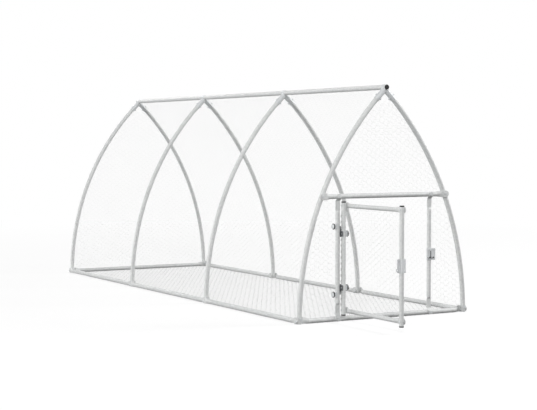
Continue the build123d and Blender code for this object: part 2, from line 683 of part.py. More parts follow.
foot_notches = [(CORNER_X, SPAN, 0, TAB_TOP), (-SPAN, -CORNER_X, 0, TAB_TOP)]
bar_notches = [
    (BAR_CORNER_X, SPAN, CROSSBAR_Z - BAR_TAB_HALF, CROSSBAR_Z + BAR_TAB_HALF),
    (-SPAN, -BAR_CORNER_X, CROSSBAR_Z - BAR_TAB_HALF, CROSSBAR_Z + BAR_TAB_HALF),
]
knob_reach = POST_X + THIN_R + POST_SADDLE + KNOB_H + KNOB_CLEAR
knob_half = KNOB_R + KNOB_CLEAR
knob_notches = [(-knob_reach, -POST_X, z - knob_half, z + knob_half) for z in HOOK_Z]
below_bar = CROSSBAR_Z - BAR_HALF
above_bar = CROSSBAR_Z + BAR_HALF

side_notches = foot_notches + bar_notches
left_box = (-SPAN, -POST_EDGE, BASE_TOP, below_bar)
right_box = (POST_EDGE, SPAN, BASE_TOP, below_bar)
save(net_panel(rear_plane, (-SPAN, SPAN, BASE_TOP, NET_TOP), foot_notches, True), "rear_net")
save(net_panel(front_plane, (-SPAN, SPAN, above_bar, NET_TOP), bar_notches, True), "front_net_upper")
save(net_panel(front_plane, left_box, side_notches + knob_notches, True), "front_net_left")
save(net_panel(front_plane, right_box, side_notches, True), "front_net_right")

# Hinge hooks on the left post: the upper pin hangs down and the lower one stands up.
KNUCKLE_R = PIN_R + PIN_CLEAR + LEAF_THICK
hook_start = -(POST_X + THIN_R + POST_SADDLE + KNOB_H - SHANK_SHORT)
for name, z, leaf_z, way in (("upper", HOOK_Z[0], LEAF_Z[0], -1), ("lower", HOOK_Z[1], LEAF_Z[1], 1)):
    pin_end = leaf_z + way * (LEAF_HEIGHT / 2 + PIN_TAIL)
    shank = (hook_start, FRONT_Y, z)
    elbow = (PIN_X, FRONT_Y, z)
    with BuildPart() as hook:
        with BuildLine():
            FilletPolyline(shank, elbow, (PIN_X, FRONT_Y, pin_end), radius=HOOK_BEND)
        with BuildSketch(Plane(origin=shank, z_dir=(1, 0, 0))):
            Circle(PIN_R)
        sweep()
    save(hook.part, f"hinge_hook_{name}")

    # Door leaf: a strap rolled round the pin, its flat on the side of the hinge stile.
    shoulder = z + way * (HOOK_BEND + LEAF_GAP)
    tail = leaf_z + way * LEAF_HEIGHT / 2
    flat_x = (PIN_X - KNUCKLE_R, HINGE_STILE[0] - THIN_R - SEAT)
    with BuildPart() as leaf:
        with BuildSketch(Plane.XY.offset(min(shoulder, tail))):
            with Locations((PIN_X, FRONT_Y)):
                Circle(KNUCKLE_R)
        extrude(amount=abs(shoulder - tail))
        with BuildSketch(Plane.XY.offset(leaf_z - LEAF_HEIGHT / 2)):
            with Locations((sum(flat_x) / 2, FRONT_Y - LEAF_LENGTH / 2)):
                Rectangle(flat_x[1] - flat_x[0], LEAF_LENGTH)
        extrude(amount=LEAF_HEIGHT)
        with Locations((PIN_X, FRONT_Y, (shoulder + tail) / 2)):
            Cylinder(PIN_R + PIN_CLEAR, 3 * LEAF_HEIGHT, mode=Mode.SUBTRACT)
        with Locations(turned((flat_x[0], HINGE_STILE[1], leaf_z), (1, 0, 0))):
            Cylinder(BOLT_HOLE_R, 4 * LEAF_THICK, mode=Mode.SUBTRACT)
    save(leaf.part, f"hinge_leaf_{name}")


# Saddles fit a round tube on one side and a hand knob on the other.
def put_saddle(axis_x, axis_y, z, way, thick):
    with Locations((axis_x + way * (THIN_R + SEAT + thick), axis_y, z)):
        align = Align.MAX if way > 0 else Align.MIN
        Box(thick + SADDLE_GRIP, SADDLE_WIDTH, SADDLE_HEIGHT, align=(align, Align.CENTER, Align.CENTER))
    with Locations((axis_x, axis_y, z)):
        Cylinder(THIN_R + SEAT, 2 * SADDLE_HEIGHT, mode=Mode.SUBTRACT)


def hand_knob(hole_r):
    with BuildPart() as knob:
        Cylinder(KNOB_R, KNOB_H, align=MIDDLE_UP)
        fillet(knob.edges().filter_by(GeomType.CIRCLE), KNOB_ROUND)
        with Locations((0, 0, 0)):
            Cylinder(hole_r, 2 * (KNOB_H - KNOB_FACE), mode=Mode.SUBTRACT)
    return knob.part


with BuildPart() as hinge_post_saddles:
    for z in HOOK_Z:
        put_saddle(-POST_X, FRONT_Y, z, -1, POST_SADDLE)
    for z in HOOK_Z:
        with Locations(turned((-POST_X, FRONT_Y, z), (1, 0, 0))):
            Cylinder(PIN_R + HOOK_HOLE_CLEAR, THROUGH, mode=Mode.SUBTRACT)
save(hinge_post_saddles.part, "hinge_post_saddles")

post_knob = hand_knob(PIN_R + KNOB_HOLE_CLEAR)
with BuildPart() as hinge_post_knobs:
    for z in HOOK_Z:
        add(post_knob.moved(turned((-(POST_X + THIN_R + POST_SADDLE + 2 * SEAT), FRONT_Y, z), (-1, 0, 0))))
save(hinge_post_knobs.part, "hinge_post_knobs")


# Door frame: two stiles with end caps, two rails with flat ends bolted on the stiles.
def door_stile(at, bolt_heights):
    with BuildPart() as stile:
        with BuildSketch(Plane.XY.offset(DOOR_LOW + DOOR_CAP_HEAD)):
            with Locations(at):
                Circle(THIN_R)
                Circle(THIN_R - TUBE_WALL, mode=Mode.SUBTRACT)
        extrude(amount=DOOR_HIGH - DOOR_LOW - 2 * DOOR_CAP_HEAD)
        for z in bolt_heights:
            with Locations(turned((at[0], at[1], z), (1, 0, 0))):
                Cylinder(BOLT_HOLE_R, 4 * THIN_R, mode=Mode.SUBTRACT)
    return stile.part


save(door_stile(HINGE_STILE, RAIL_Z + LEAF_Z), "door_stile_hinge")
save(door_stile(FREE_STILE, RAIL_Z), "door_stile_free")

rail_past = (RAIL_TAB_OVERHANG, RAIL_TAB_OVERHANG)
rail_sides = (RAIL_JOGGLE, RAIL_JOGGLE)
rail_blank = flat_end_tube(
    DOOR_WIDTH, THIN_R, RAIL_TAB_HEIGHT, RAIL_TAB_THICK, rail_past, rail_sides, 0, 0, BOLT_HOLE_R
)
for name, z in zip(("top", "bottom"), RAIL_Z):
    lay = Plane(origin=(HINGE_STILE[0], HINGE_STILE[1], z), x_dir=(0, -1, 0), z_dir=(0, 0, 1))
    with BuildPart() as rail:
        add(rail_blank.moved(lay.location))
    save(rail.part, f"door_rail_{name}")

with BuildPart() as door_caps:
    for at in (HINGE_STILE, FREE_STILE):
        for z, way in ((DOOR_HIGH - DOOR_CAP_HEAD + SEAT, 1), (DOOR_LOW + DOOR_CAP_HEAD - SEAT, -1)):
            with Locations(turned((at[0], at[1], z), (0, 0, way))):
                Cylinder(THIN_R, DOOR_CAP_HEAD - SEAT, align=MIDDLE_UP)
                Cylinder(THIN_R - TUBE_WALL - SEAT, DOOR_CAP_PLUG, align=MIDDLE_DOWN)
save(door_caps.part, "door_caps")

rail_nut_x = HINGE_STILE[0] + THIN_R + RAIL_TAB_THICK + 2 * SEAT
with BuildPart() as door_rail_bolts:
    for at in (HINGE_STILE, FREE_STILE):
        for z in RAIL_Z:
            head = turned((at[0] - THIN_R - SEAT, at[1], z), (-1, 0, 0))
            shank_length = rail_nut_x + NUT_H + BOLT_PAST - (at[0] - THIN_R)
            put_bolt(head, shank_length, BOLT_R, SCREW_HEAD_R, SMALL_HEAD_H)
save(door_rail_bolts.part, "door_rail_bolts")

with BuildPart() as door_rail_nuts:
    for at in (HINGE_STILE, FREE_STILE):
        for z in RAIL_Z:
            add(m6_nut.moved(turned((rail_nut_x, at[1], z), (1, 0, 0))))
save(door_rail_nuts.part, "door_rail_nuts")

# Leaf bolts are flush with the leaf and screw into hand knobs behind the stile.
with BuildPart() as door_saddles:
    for z in LEAF_Z:
        put_saddle(HINGE_STILE[0], HINGE_STILE[1], z, 1, DOOR_SADDLE)
    for z in LEAF_Z:
        with Locations(turned((HINGE_STILE[0], HINGE_STILE[1], z), (1, 0, 0))):
            Cylinder(BOLT_HOLE_R, THROUGH, mode=Mode.SUBTRACT)
save(door_saddles.part, "door_saddles")

knob_x = HINGE_STILE[0] + THIN_R + DOOR_SADDLE + 2 * SEAT
door_knob = hand_knob(BOLT_R + KNOB_HOLE_CLEAR)
with BuildPart() as door_knobs:
    for z in LEAF_Z:
        add(door_knob.moved(turned((knob_x, HINGE_STILE[1], z), (1, 0, 0))))
save(door_knobs.part, "door_knobs")

leaf_face = PIN_X - KNUCKLE_R
with BuildPart() as leaf_bolts:
    for z in LEAF_Z:
        with Locations(turned((leaf_face, HINGE_STILE[1], z), (1, 0, 0))):
            Cylinder(BOLT_R, knob_x + KNOB_H - SHANK_SHORT - leaf_face, align=MIDDLE_UP)
save(leaf_bolts.part, "leaf_bolts")

# Door net in the middle plane of the door frame.
door_plane = Plane(
    origin=(HINGE_STILE[0] - NET_THICK / 2, (HINGE_STILE[1] + FREE_STILE[1]) / 2, sum(RAIL_Z) / 2),
    x_dir=(0, 1, 0),
    z_dir=(1, 0, 0),
)
net_half = DOOR_WIDTH / 2 - THIN_R - NET_CLEAR
rail_half = (RAIL_Z[0] - RAIL_Z[1]) / 2
net_rise = rail_half - THIN_R - NET_CLEAR
rail_corner = DOOR_WIDTH / 2 - TAB_FLAT - TAB_TAPER - TAPER_CLEAR
rail_edge = rail_half - RAIL_TAB_HEIGHT / 2 - FLAT_CLEAR
clamp_edge = DOOR_WIDTH / 2 - THIN_R - SEAT - CLAMP_THICK - NET_CLEAR
rails_middle = sum(RAIL_Z) / 2
clamp_zone = (CLAMP_LOW - FLAT_CLEAR - rails_middle, CLAMP_HIGH + FLAT_CLEAR - rails_middle)
door_notches = [
    (-DOOR_WIDTH, -rail_corner, rail_edge, DOOR_WIDTH),
    (rail_corner, DOOR_WIDTH, rail_edge, DOOR_WIDTH),
    (-DOOR_WIDTH, -rail_corner, -DOOR_WIDTH, -rail_edge),
    (rail_corner, DOOR_WIDTH, -DOOR_WIDTH, -rail_edge),
    (-DOOR_WIDTH, -clamp_edge, clamp_zone[0], clamp_zone[1]),
]
save(net_panel(door_plane, (-net_half, net_half, -net_rise, net_rise), door_notches, False), "door_net")

# Latch keeper on the right post: front plate, strap round the back of the post, two guides and screws.
plate_mid = (sum(PLATE_X) / 2, PLATE_FRONT + PLATE_THICK / 2, (LATCH_LOW + LATCH_HIGH) / 2)
with BuildPart() as latch_plate:
    with Locations(plate_mid):
        Box(PLATE_X[1] - PLATE_X[0], PLATE_THICK, LATCH_HIGH - LATCH_LOW)
    fillet(latch_plate.edges().filter_by(Axis.Y), PLATE_ROUND)
    for x in KEEPER_SCREW_X:
        for z in KEEPER_SCREW_Z:
            with Locations(turned((x, PLATE_FRONT, z), (0, 1, 0))):
                Cylinder(SMALL_HOLE_R, 4 * PLATE_THICK, mode=Mode.SUBTRACT)
save(latch_plate.part, "latch_plate")

strap_in = THIN_R + SEAT
strap_out = strap_in + STRAP_THICK
with BuildPart() as latch_strap:
    with BuildSketch(Plane.XY.offset(LATCH_LOW)):
        with Locations((POST_X, FRONT_Y)):
            Circle(strap_out)
        with Locations((POST_X, FRONT_Y - THIN_R / 2)):
            Rectangle(2 * strap_out, THIN_R)
        with Locations((POST_X, FRONT_Y - THIN_R)):
            Rectangle(4 * strap_out, 8 * STRAP_THICK, align=(Align.CENTER, Align.MAX), mode=Mode.SUBTRACT)
        with Locations((POST_X + strap_in, FRONT_Y - THIN_R)):
            Rectangle(PLATE_X[1] - POST_X - strap_in, STRAP_THICK, align=(Align.MIN, Align.MIN))
        with Locations((POST_X, FRONT_Y)):
            Circle(strap_in, mode=Mode.SUBTRACT)
        with Locations((POST_X, FRONT_Y - THIN_R / 2)):
            Rectangle(2 * strap_in, THIN_R, mode=Mode.SUBTRACT)
    extrude(amount=LATCH_HIGH - LATCH_LOW)
    for z in KEEPER_SCREW_Z:
        with Locations(turned((KEEPER_SCREW_X[1], FRONT_Y - THIN_R, z), (0, 1, 0))):
            Cylinder(SMALL_HOLE_R, 8 * STRAP_THICK, mode=Mode.SUBTRACT)
save(latch_strap.part, "latch_strap")

with BuildPart() as latch_guides:
    for start, stop in GUIDE_REACH:
        with Locations(((POST_X + (start + stop) / 2), LATCH_ROD_Y, LATCH_ROD_Z)):
            Box(stop - start, 2 * GUIDE_HALF, 2 * GUIDE_HALF)
    fillet(latch_guides.edges().filter_by(Axis.X).group_by(Axis.Y)[0], GUIDE_ROUND)
    with Locations(turned((POST_X, LATCH_ROD_Y, LATCH_ROD_Z), (1, 0, 0))):
        Cylinder(LATCH_ROD_R + LATCH_ROD_CLEAR, THROUGH, mode=Mode.SUBTRACT)
save(latch_guides.part, "latch_guides")

with BuildPart() as latch_screws:
    for x in KEEPER_SCREW_X:
        for z in KEEPER_SCREW_Z:
            head = turned((x, PLATE_FRONT - SEAT, z), (0, -1, 0))
            put_bolt(head, SMALL_GRIP, SMALL_SCREW_R, SMALL_HEAD_R, SMALL_HEAD_H)
save(latch_screws.part, "latch_screws")

# Latch bolt: a rod that slides in the guides, drawn pulled back, with an upright handle between them.
with BuildPart() as latch_bolt:
    with Locations(turned((LATCH_TIP_X, LATCH_ROD_Y, LATCH_ROD_Z), (1, 0, 0))):
        Cylinder(LATCH_ROD_R, LATCH_TAIL_X - LATCH_TIP_X, align=MIDDLE_UP)
    with Locations((LATCH_HANDLE_X, LATCH_ROD_Y, LATCH_ROD_Z)):
        Cylinder(LATCH_HANDLE_R, LATCH_HANDLE_TOP - LATCH_ROD_Z, align=MIDDLE_UP)
save(latch_bolt.part, "latch_bolt")


# Latch clamp on the free stile: two half shells with flanges, and an ear in front with the eye for the bolt.
def clamp_shell(way):
    with BuildPart() as shell:
        with BuildSketch(Plane.XY.offset(CLAMP_LOW)):
            with Locations(FREE_STILE):
                Circle(THIN_R + SEAT + CLAMP_THICK)
                Rectangle(4 * THIN_R, 3 * THIN_R, align=(Align.CENTER, Align.MAX), mode=Mode.SUBTRACT)
            with Locations((FREE_STILE[0] - CLAMP_FRONT, FREE_STILE[1])):
                Rectangle(CLAMP_FRONT + CLAMP_BACK, SEAT + CLAMP_THICK, align=(Align.MIN, Align.MIN))
            with Locations(FREE_STILE):
                Circle(THIN_R + SEAT, mode=Mode.SUBTRACT)
                Rectangle(9 * THIN_R, 2 * SEAT, mode=Mode.SUBTRACT)
        extrude(amount=CLAMP_HIGH - CLAMP_LOW)
        with Locations((FREE_STILE[0] - CLAMP_EAR, FREE_STILE[1] + SEAT, LATCH_ROD_Z)):
            ear = CLAMP_EAR - CLAMP_FRONT + CLAMP_EAR_LAP
            Box(ear, CLAMP_THICK, 2 * CLAMP_EAR_HALF, align=(Align.MIN, Align.MIN, Align.CENTER))
        for x in CLAMP_SCREW_X:
            for z in CLAMP_SCREW_Z:
                with Locations(turned((FREE_STILE[0] + x, FREE_STILE[1], z), (0, 1, 0))):
                    Cylinder(SMALL_HOLE_R, 8 * CLAMP_THICK, mode=Mode.SUBTRACT)
        with Locations(turned((FREE_STILE[0] + LATCH_EYE_X, FREE_STILE[1], LATCH_ROD_Z), (0, 1, 0))):
            Cylinder(LATCH_EYE_R, 8 * CLAMP_THICK, mode=Mode.SUBTRACT)
    if way > 0:
        return shell.part
    return mirror(shell.part, about=Plane.XZ.offset(-FREE_STILE[1]))


save(clamp_shell(1), "latch_clamp_inner")
save(clamp_shell(-1), "latch_clamp_outer")

flange_face = CLAMP_THICK + 2 * SEAT
with BuildPart() as latch_rivets:
    for x in CLAMP_SCREW_X:
        for z in CLAMP_SCREW_Z:
            spot = (FREE_STILE[0] + x, FREE_STILE[1] - flange_face, z)
            put_bolt(turned(spot, (0, -1, 0)), 2 * flange_face, SMALL_SCREW_R, SMALL_HEAD_R, SMALL_HEAD_H)
            far = (FREE_STILE[0] + x, FREE_STILE[1] + flange_face, z)
            put_bolt(turned(far, (0, 1, 0)), flange_face, SMALL_SCREW_R, SMALL_HEAD_R, SMALL_HEAD_H)
save(latch_rivets.part, "latch_rivets")
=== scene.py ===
# %% [markdown]
# # A rabbit cage of bent tubes and hexagonal netting
# The cage is a row of four pointed arches under a ridge pole, with base tubes on the ground and
# a small door in the front end. Its rigid pieces could be modelled again here, but they come from
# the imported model, which keeps every tube and joint in its place. This script gives them their
# finishes, and weaves the wire netting that the model draws only coarsely.

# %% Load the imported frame
import math

import bpy
import numpy as np
from mathutils import Matrix, Vector


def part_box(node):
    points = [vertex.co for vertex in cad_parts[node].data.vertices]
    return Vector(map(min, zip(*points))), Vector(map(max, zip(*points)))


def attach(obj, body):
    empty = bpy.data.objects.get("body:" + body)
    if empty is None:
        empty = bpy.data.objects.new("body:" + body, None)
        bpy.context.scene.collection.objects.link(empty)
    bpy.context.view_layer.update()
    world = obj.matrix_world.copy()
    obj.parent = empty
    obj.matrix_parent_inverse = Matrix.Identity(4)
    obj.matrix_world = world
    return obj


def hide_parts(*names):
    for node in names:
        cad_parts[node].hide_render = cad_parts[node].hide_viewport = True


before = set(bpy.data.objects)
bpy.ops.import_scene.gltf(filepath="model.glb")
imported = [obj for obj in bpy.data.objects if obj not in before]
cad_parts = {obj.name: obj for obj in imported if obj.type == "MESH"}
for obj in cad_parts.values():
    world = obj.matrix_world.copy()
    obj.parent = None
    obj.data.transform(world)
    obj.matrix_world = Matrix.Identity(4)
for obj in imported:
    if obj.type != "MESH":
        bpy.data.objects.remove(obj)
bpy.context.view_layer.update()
print("loaded", len(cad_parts), "pieces of the frame")

# %% [markdown]
# ## Camera
# Pictures like this one are taken with a long lens from far away, which keeps the arches nearly
# the same size. The camera could be moved by eye until the view looks right. Here the four arches,
# the ridge and the base tubes in the photograph fix where the lens stood and how long it was, so
# the camera is placed by those numbers, and nothing is shifted.

# %% Camera
SENSOR_WIDTH = 36.0  # in millimetres, as is the lens
LENS = 91.72
CAMERA_PLACE = (-3.91928, -7.20730, 0.90277)
CAMERA_DIP = 2.73941  # degrees below level
CAMERA_TURN = -29.63176  # degrees, to the right of the cage's long direction

camera_data = bpy.data.cameras.new("camera")
camera_data.sensor_fit = "HORIZONTAL"
camera_data.sensor_width = SENSOR_WIDTH
camera_data.lens = LENS
camera = bpy.data.objects.new("camera", camera_data)
bpy.context.scene.collection.objects.link(camera)
camera.location = CAMERA_PLACE
camera.rotation_euler = (math.radians(90 - CAMERA_DIP), 0, math.radians(CAMERA_TURN))
bpy.context.scene.camera = camera
bpy.context.scene.view_settings.view_transform = "Standard"
print("camera", [round(value, 3) for value in camera.location])

# %% [markdown]
# ## Nodes and colours
# Every finish below is a small tree of nodes, which could be wired by hand in the shader editor.
# In code, one function adds a node, fills its sockets and joins its links, so that each material
# reads from top to bottom. Colours are written as on a paint card, and a second function turns
# them to the linear values that shaders work in.

# %% Node and colour helpers
def add(tree, kind, inputs=None, **settings):
    """Adds one node; an input is a value or another node's output."""
    made = tree.nodes.new(kind)
    for name, value in settings.items():
        setattr(made, name, value)
    for name, value in (inputs or {}).items():
        if isinstance(value, bpy.types.NodeSocket):
            tree.links.new(value, made.inputs[name])
        else:
            made.inputs[name].default_value = value
    return made


def linear(code):
    """An sRGB hex colour as linear red, green, blue and full alpha."""
    parts = [int(code[start:start + 2], 16) / 255 for start in (1, 3, 5)]
    return [v / 12.92 if v <= 0.04045 else ((v + 0.055) / 1.055) ** 2.4 for v in parts] + [1.0]


def blank_material(name):
    """A new material with no nodes in it."""
    material = bpy.data.materials.new(name)
    material.use_nodes = True
    material.node_tree.nodes.clear()
    return material


WHITE = linear("#FFFFFF")
print("white is", WHITE)

# %% [markdown]
# ## White to the eye
# All round the cage the picture is pure white. White surroundings could simply be lit, but they
# would light the metal from every side and wash the shade off its tubes. Blender can tell what a
# ray of light is for, so the surroundings are made white to the camera and in reflections, and
# much darker to the light that scatters from them.

# %% Tell what sees the white
def grey(level):
    """A linear grey with full alpha."""
    return (level, level, level, 1)


def seen_directly(tree):
    """1 for rays from the camera, in reflections and through glass, and 0 for scattered light."""
    path = add(tree, "ShaderNodeLightPath").outputs
    near = add(tree, "ShaderNodeMath", {0: path["Is Camera Ray"], 1: path["Is Glossy Ray"]},
               operation="MAXIMUM")
    both = add(tree, "ShaderNodeMath", {0: near.outputs[0], 1: path["Is Transmission Ray"]},
               operation="MAXIMUM")
    return both.outputs[0]


print("made", grey.__name__, "and", seen_directly.__name__)

# %% [markdown]
# ## Floor
# A product picture stands on white paper that runs up behind the object. A curved sheet could be
# modelled, but from this height a wide plane that turns to pure white further out looks the same.
# Near the cage the paper takes a faint shadow, which keeps the cage on the ground, and it returns
# little light to the metal.

# %% Floor
FLOOR_SIZE = 60.0
FLOOR_DROP = 0.0005  # keeps the floor clear of the netting that lies on it
PAPER_GLOW = 0.809  # with what the lamps add, the paper near the cage comes out white
PAPER_SHADE = 0.25  # share of the lamps' light that shows on it, so how deep its shadows are
PAPER_BOUNCE = 0.08  # share that it returns to the metal
SHADE_FADE = (2.5, 7.0)  # its shadows fade between these distances from the middle

bpy.ops.object.select_all(action="DESELECT")
bpy.ops.mesh.primitive_plane_add(size=FLOOR_SIZE, location=(0, 0, -FLOOR_DROP))
floor = bpy.context.object
floor.name = "floor"
paper = blank_material("white_paper")
tree = paper.node_tree
glow = add(tree, "ShaderNodeEmission", {"Color": WHITE, "Strength": PAPER_GLOW})
thin = add(tree, "ShaderNodeBsdfDiffuse", {"Color": grey(PAPER_SHADE)})
near = add(tree, "ShaderNodeAddShader", {0: glow.outputs[0], 1: thin.outputs[0]})
far = add(tree, "ShaderNodeEmission", {"Color": WHITE, "Strength": 1.0})
spot = add(tree, "ShaderNodeTexCoord").outputs["Object"]
reach = add(tree, "ShaderNodeVectorMath", {0: spot}, operation="LENGTH")
fade = add(tree, "ShaderNodeMapRange", {
    "Value": reach.outputs["Value"], "From Min": SHADE_FADE[0], "From Max": SHADE_FADE[1]})
shown = add(tree, "ShaderNodeMixShader", {0: fade.outputs[0], 1: near.outputs[0], 2: far.outputs[0]})
dull = add(tree, "ShaderNodeBsdfDiffuse", {"Color": grey(PAPER_BOUNCE)})
mixed = add(tree, "ShaderNodeMixShader", {0: seen_directly(tree), 1: dull.outputs[0], 2: shown.outputs[0]})
add(tree, "ShaderNodeOutputMaterial", {"Surface": mixed.outputs[0]})
floor.data.materials.append(paper)
print("floor", FLOOR_SIZE, "m wide")

# %% [markdown]
# ## Light
# In a studio, soft boxes stand round the object: lamps behind wide white cloth. A bright sky would
# be simpler, but it lights a tube evenly and flattens it. Square area lamps are used, because
# their size sets how soft the light is. The strongest stand on the left and on the right, and
# weaker ones near the camera and behind the cage, so that the tubes are bright along both sides
# and darker underneath. The world around is white to the eye, and adds only a little light.

# %% World and lamps
WORLD_FILL = 0.05
LAMP_AIM = Vector((0, 0, 0.5))  # about the middle of the cage

world = bpy.data.worlds.new("studio")
bpy.context.scene.world = world
world.use_nodes = True
tree = world.node_tree
tree.nodes.clear()
shown = add(tree, "ShaderNodeBackground", {"Color": WHITE, "Strength": 1.0})
fill = add(tree, "ShaderNodeBackground", {"Color": WHITE, "Strength": WORLD_FILL})
mixed = add(tree, "ShaderNodeMixShader", {0: seen_directly(tree), 1: fill.outputs[0], 2: shown.outputs[0]})
add(tree, "ShaderNodeOutputWorld", {"Surface": mixed.outputs[0]})


def soft_box(name, spot, size, watts):
    """A square area lamp that looks at the middle of the cage."""
    lamp = bpy.data.lights.new(name, "AREA")
    lamp.shape = "SQUARE"
    lamp.size = size
    lamp.energy = watts
    holder = bpy.data.objects.new(name, lamp)
    bpy.context.scene.collection.objects.link(holder)
    holder.location = spot
    holder.rotation_euler = (LAMP_AIM - Vector(spot)).to_track_quat("-Z", "Y").to_euler()


soft_box("left_box", (-11.2, 4.0, 1.6), size=3.0, watts=750)
soft_box("right_box", (9.2, -4.3, 6.9), size=3.0, watts=860)
soft_box("low_box", (-6.0, -10.2, 1.8), size=3.5, watts=215)
soft_box("high_box", (-5.1, -8.8, 6.9), size=3.0, watts=590)
soft_box("back_box", (0.0, 11.0, 5.0), size=4.0, watts=270)

# %% [markdown]
# ## Finishes
# Galvanised steel is mild steel dipped in zinc. The zinc freezes in crystals about a centimetre
# across, and each crystal reflects a little differently, which gives a pale, faintly mottled grey.
# Outdoors it grows a dull skin, so it scatters light more than it mirrors it. A photograph of such
# a tube could be wrapped round every tube, but nodes need no unwrapping: a cell pattern of the
# real size draws the crystals, and a slow cloud over them stands for handling and weather.

# %% Galvanised tube
SPANGLE = 0.009  # one zinc crystal, in metres
CLOUD = 0.12
ROUGH_SPREAD = (-0.05, 0.07)  # how the roughness differs from crystal to crystal
GRITS = 4  # grains of the fine unevenness across one crystal
GRIT_STRENGTH = 0.12
GRIT_DEPTH = 0.0004
ZINC_SPECULAR = 0.2  # the dull skin mirrors less than bare metal


def zinc_finish(name, dark, light, metallic, roughness, grain, cloud):
    """Zinc on steel: crystals of one size, clouds of another, and a fine unevenness."""
    material = blank_material(name)
    tree = material.node_tree
    spot = add(tree, "ShaderNodeTexCoord").outputs["Object"]
    cells = add(tree, "ShaderNodeTexVoronoi", {"Vector": spot, "Scale": 1 / grain})
    tone = add(tree, "ShaderNodeSeparateColor", {"Color": cells.outputs["Color"]})
    clouds = add(tree, "ShaderNodeTexNoise", {"Vector": spot, "Scale": 1 / cloud, "Detail": 4.0})
    both = add(tree, "ShaderNodeMath", {0: tone.outputs[0], 1: clouds.outputs["Fac"]}, operation="ADD")
    half = add(tree, "ShaderNodeMath", {0: both.outputs[0], 1: 0.5}, operation="MULTIPLY")
    paint = add(tree, "ShaderNodeMix", {0: half.outputs[0], 6: linear(dark), 7: linear(light)},
                data_type="RGBA")
    rough = add(tree, "ShaderNodeMapRange", {
        "Value": tone.outputs[1], "To Min": roughness + ROUGH_SPREAD[0],
        "To Max": roughness + ROUGH_SPREAD[1]})
    grit = add(tree, "ShaderNodeTexNoise", {"Vector": spot, "Scale": GRITS / grain, "Detail": 2.0})
    bump = add(tree, "ShaderNodeBump", {
        "Height": grit.outputs["Fac"], "Strength": GRIT_STRENGTH, "Distance": GRIT_DEPTH})
    steel = add(tree, "ShaderNodeBsdfPrincipled", {
        "Base Color": paint.outputs[2], "Metallic": metallic, "Roughness": rough.outputs[0],
        "Specular IOR Level": ZINC_SPECULAR, "Normal": bump.outputs["Normal"]})
    add(tree, "ShaderNodeOutputMaterial", {"Surface": steel.outputs[0]})
    return material


galvanised_tube = zinc_finish(
    "galvanised_tube", "#D0D2D2", "#E7E8E7", metallic=0.04, roughness=0.42, grain=SPANGLE, cloud=CLOUD)
print("made", galvanised_tube.name)

# %% [markdown]
# Bolts, brackets and the latch plates are electroplated instead: the zinc is only about a
# hundredth of a millimetre thick, so it is brighter, finer and a touch blue. The hinge hooks and
# leaves get a dark grey copy of it, which paints the shade that falls on them in the gap between
# the door and its post, and the latch bolt is drawn dark. Netting is galvanised after it is woven,
# which leaves the wire dull and slightly rough. A darker copy of the wire paints the shade on the
# wire ties in that gap, and the floor netting is drawn in it too. Each could have a tree of its
# own, but they differ only in colour, grain and roughness, so they use the same one with other
# values.

# %% Plated steel and wire
PLATING_GRAIN = 0.0025
PLATING_CLOUD = 0.03
WIRE_GRAIN = 0.004
WIRE_CLOUD = 0.2
plating = {"grain": PLATING_GRAIN, "cloud": PLATING_CLOUD}
wire = {"grain": WIRE_GRAIN, "cloud": WIRE_CLOUD}

zinc_plated_steel = zinc_finish(
    "zinc_plated_steel", "#CDD0D2", "#E4E6E7", metallic=0.15, roughness=0.36, **plating)
galvanised_wire = zinc_finish(
    "galvanised_wire", "#E8EAE9", "#F8F9F8", metallic=0.1, roughness=0.5, **wire)
# a darker copy of the wire: painted shade on the door ties in the gap beside the post, and a darker floor
# netting
darker_wire = zinc_finish(
    "galvanised_wire_darker", "#C4C6C5", "#DCDDDC", metallic=0.1, roughness=0.6, **wire)
# the latch bolt is drawn dark, under the slot name of the imported record
blackened_steel = zinc_finish(
    "blackened_steel", "#2A2B2C", "#454647", metallic=0.35, roughness=0.5, **plating)
# a dark grey copy of the plated zinc: painted shade for the hinge hooks and leaves in the gap
zinc_painted_shade = zinc_finish(
    "zinc_plated_painted_shade", "#5A5C5E", "#7C7E80", metallic=0.2, roughness=0.45, **plating)
for finish in (zinc_plated_steel, galvanised_wire, darker_wire, blackened_steel, zinc_painted_shade):
    print("made", finish.name)

# %% [markdown]
# The knobs and the end caps are injection moulded in black polypropylene. The mould is spark
# eroded, so the skin has a fine, dull grain of a few tenths of a millimetre. A plain dark colour
# would look like paint, so a noise pattern roughens it. It is drawn at 0.8 mm, because a finer
# grain would vanish in the picture.

# %% Moulded black plastic
MOULD_GRAIN = 0.0008
FLOW_SCALE = 60.0  # paler and darker flow marks, about 17 mm apart
PLASTIC_ROUGH = (0.5, 0.7)
PLASTIC_IOR = 1.4  # a little under polypropylene's 1.49, which keeps the caps dark
SKIN_STRENGTH = 0.3
SKIN_DEPTH = 0.0002

black_plastic = blank_material("moulded_black_polypropylene")
tree = black_plastic.node_tree
spot = add(tree, "ShaderNodeTexCoord").outputs["Object"]
grain = add(tree, "ShaderNodeTexNoise", {"Vector": spot, "Scale": 1 / MOULD_GRAIN, "Detail": 3.0})
flow = add(tree, "ShaderNodeTexNoise", {"Vector": spot, "Scale": FLOW_SCALE, "Detail": 2.0})
paint = add(tree, "ShaderNodeMix", {0: flow.outputs["Fac"], 6: linear("#0E0F10"), 7: linear("#1D1E1F")},
            data_type="RGBA")
rough = add(tree, "ShaderNodeMapRange", {
    "Value": grain.outputs["Fac"], "To Min": PLASTIC_ROUGH[0], "To Max": PLASTIC_ROUGH[1]})
bump = add(tree, "ShaderNodeBump", {
    "Height": grain.outputs["Fac"], "Strength": SKIN_STRENGTH, "Distance": SKIN_DEPTH})
skin = add(tree, "ShaderNodeBsdfPrincipled", {
    "Base Color": paint.outputs[2], "Roughness": rough.outputs[0], "IOR": PLASTIC_IOR,
    "Normal": bump.outputs["Normal"]})
add(tree, "ShaderNodeOutputMaterial", {"Surface": skin.outputs[0]})
print("made", black_plastic.name)
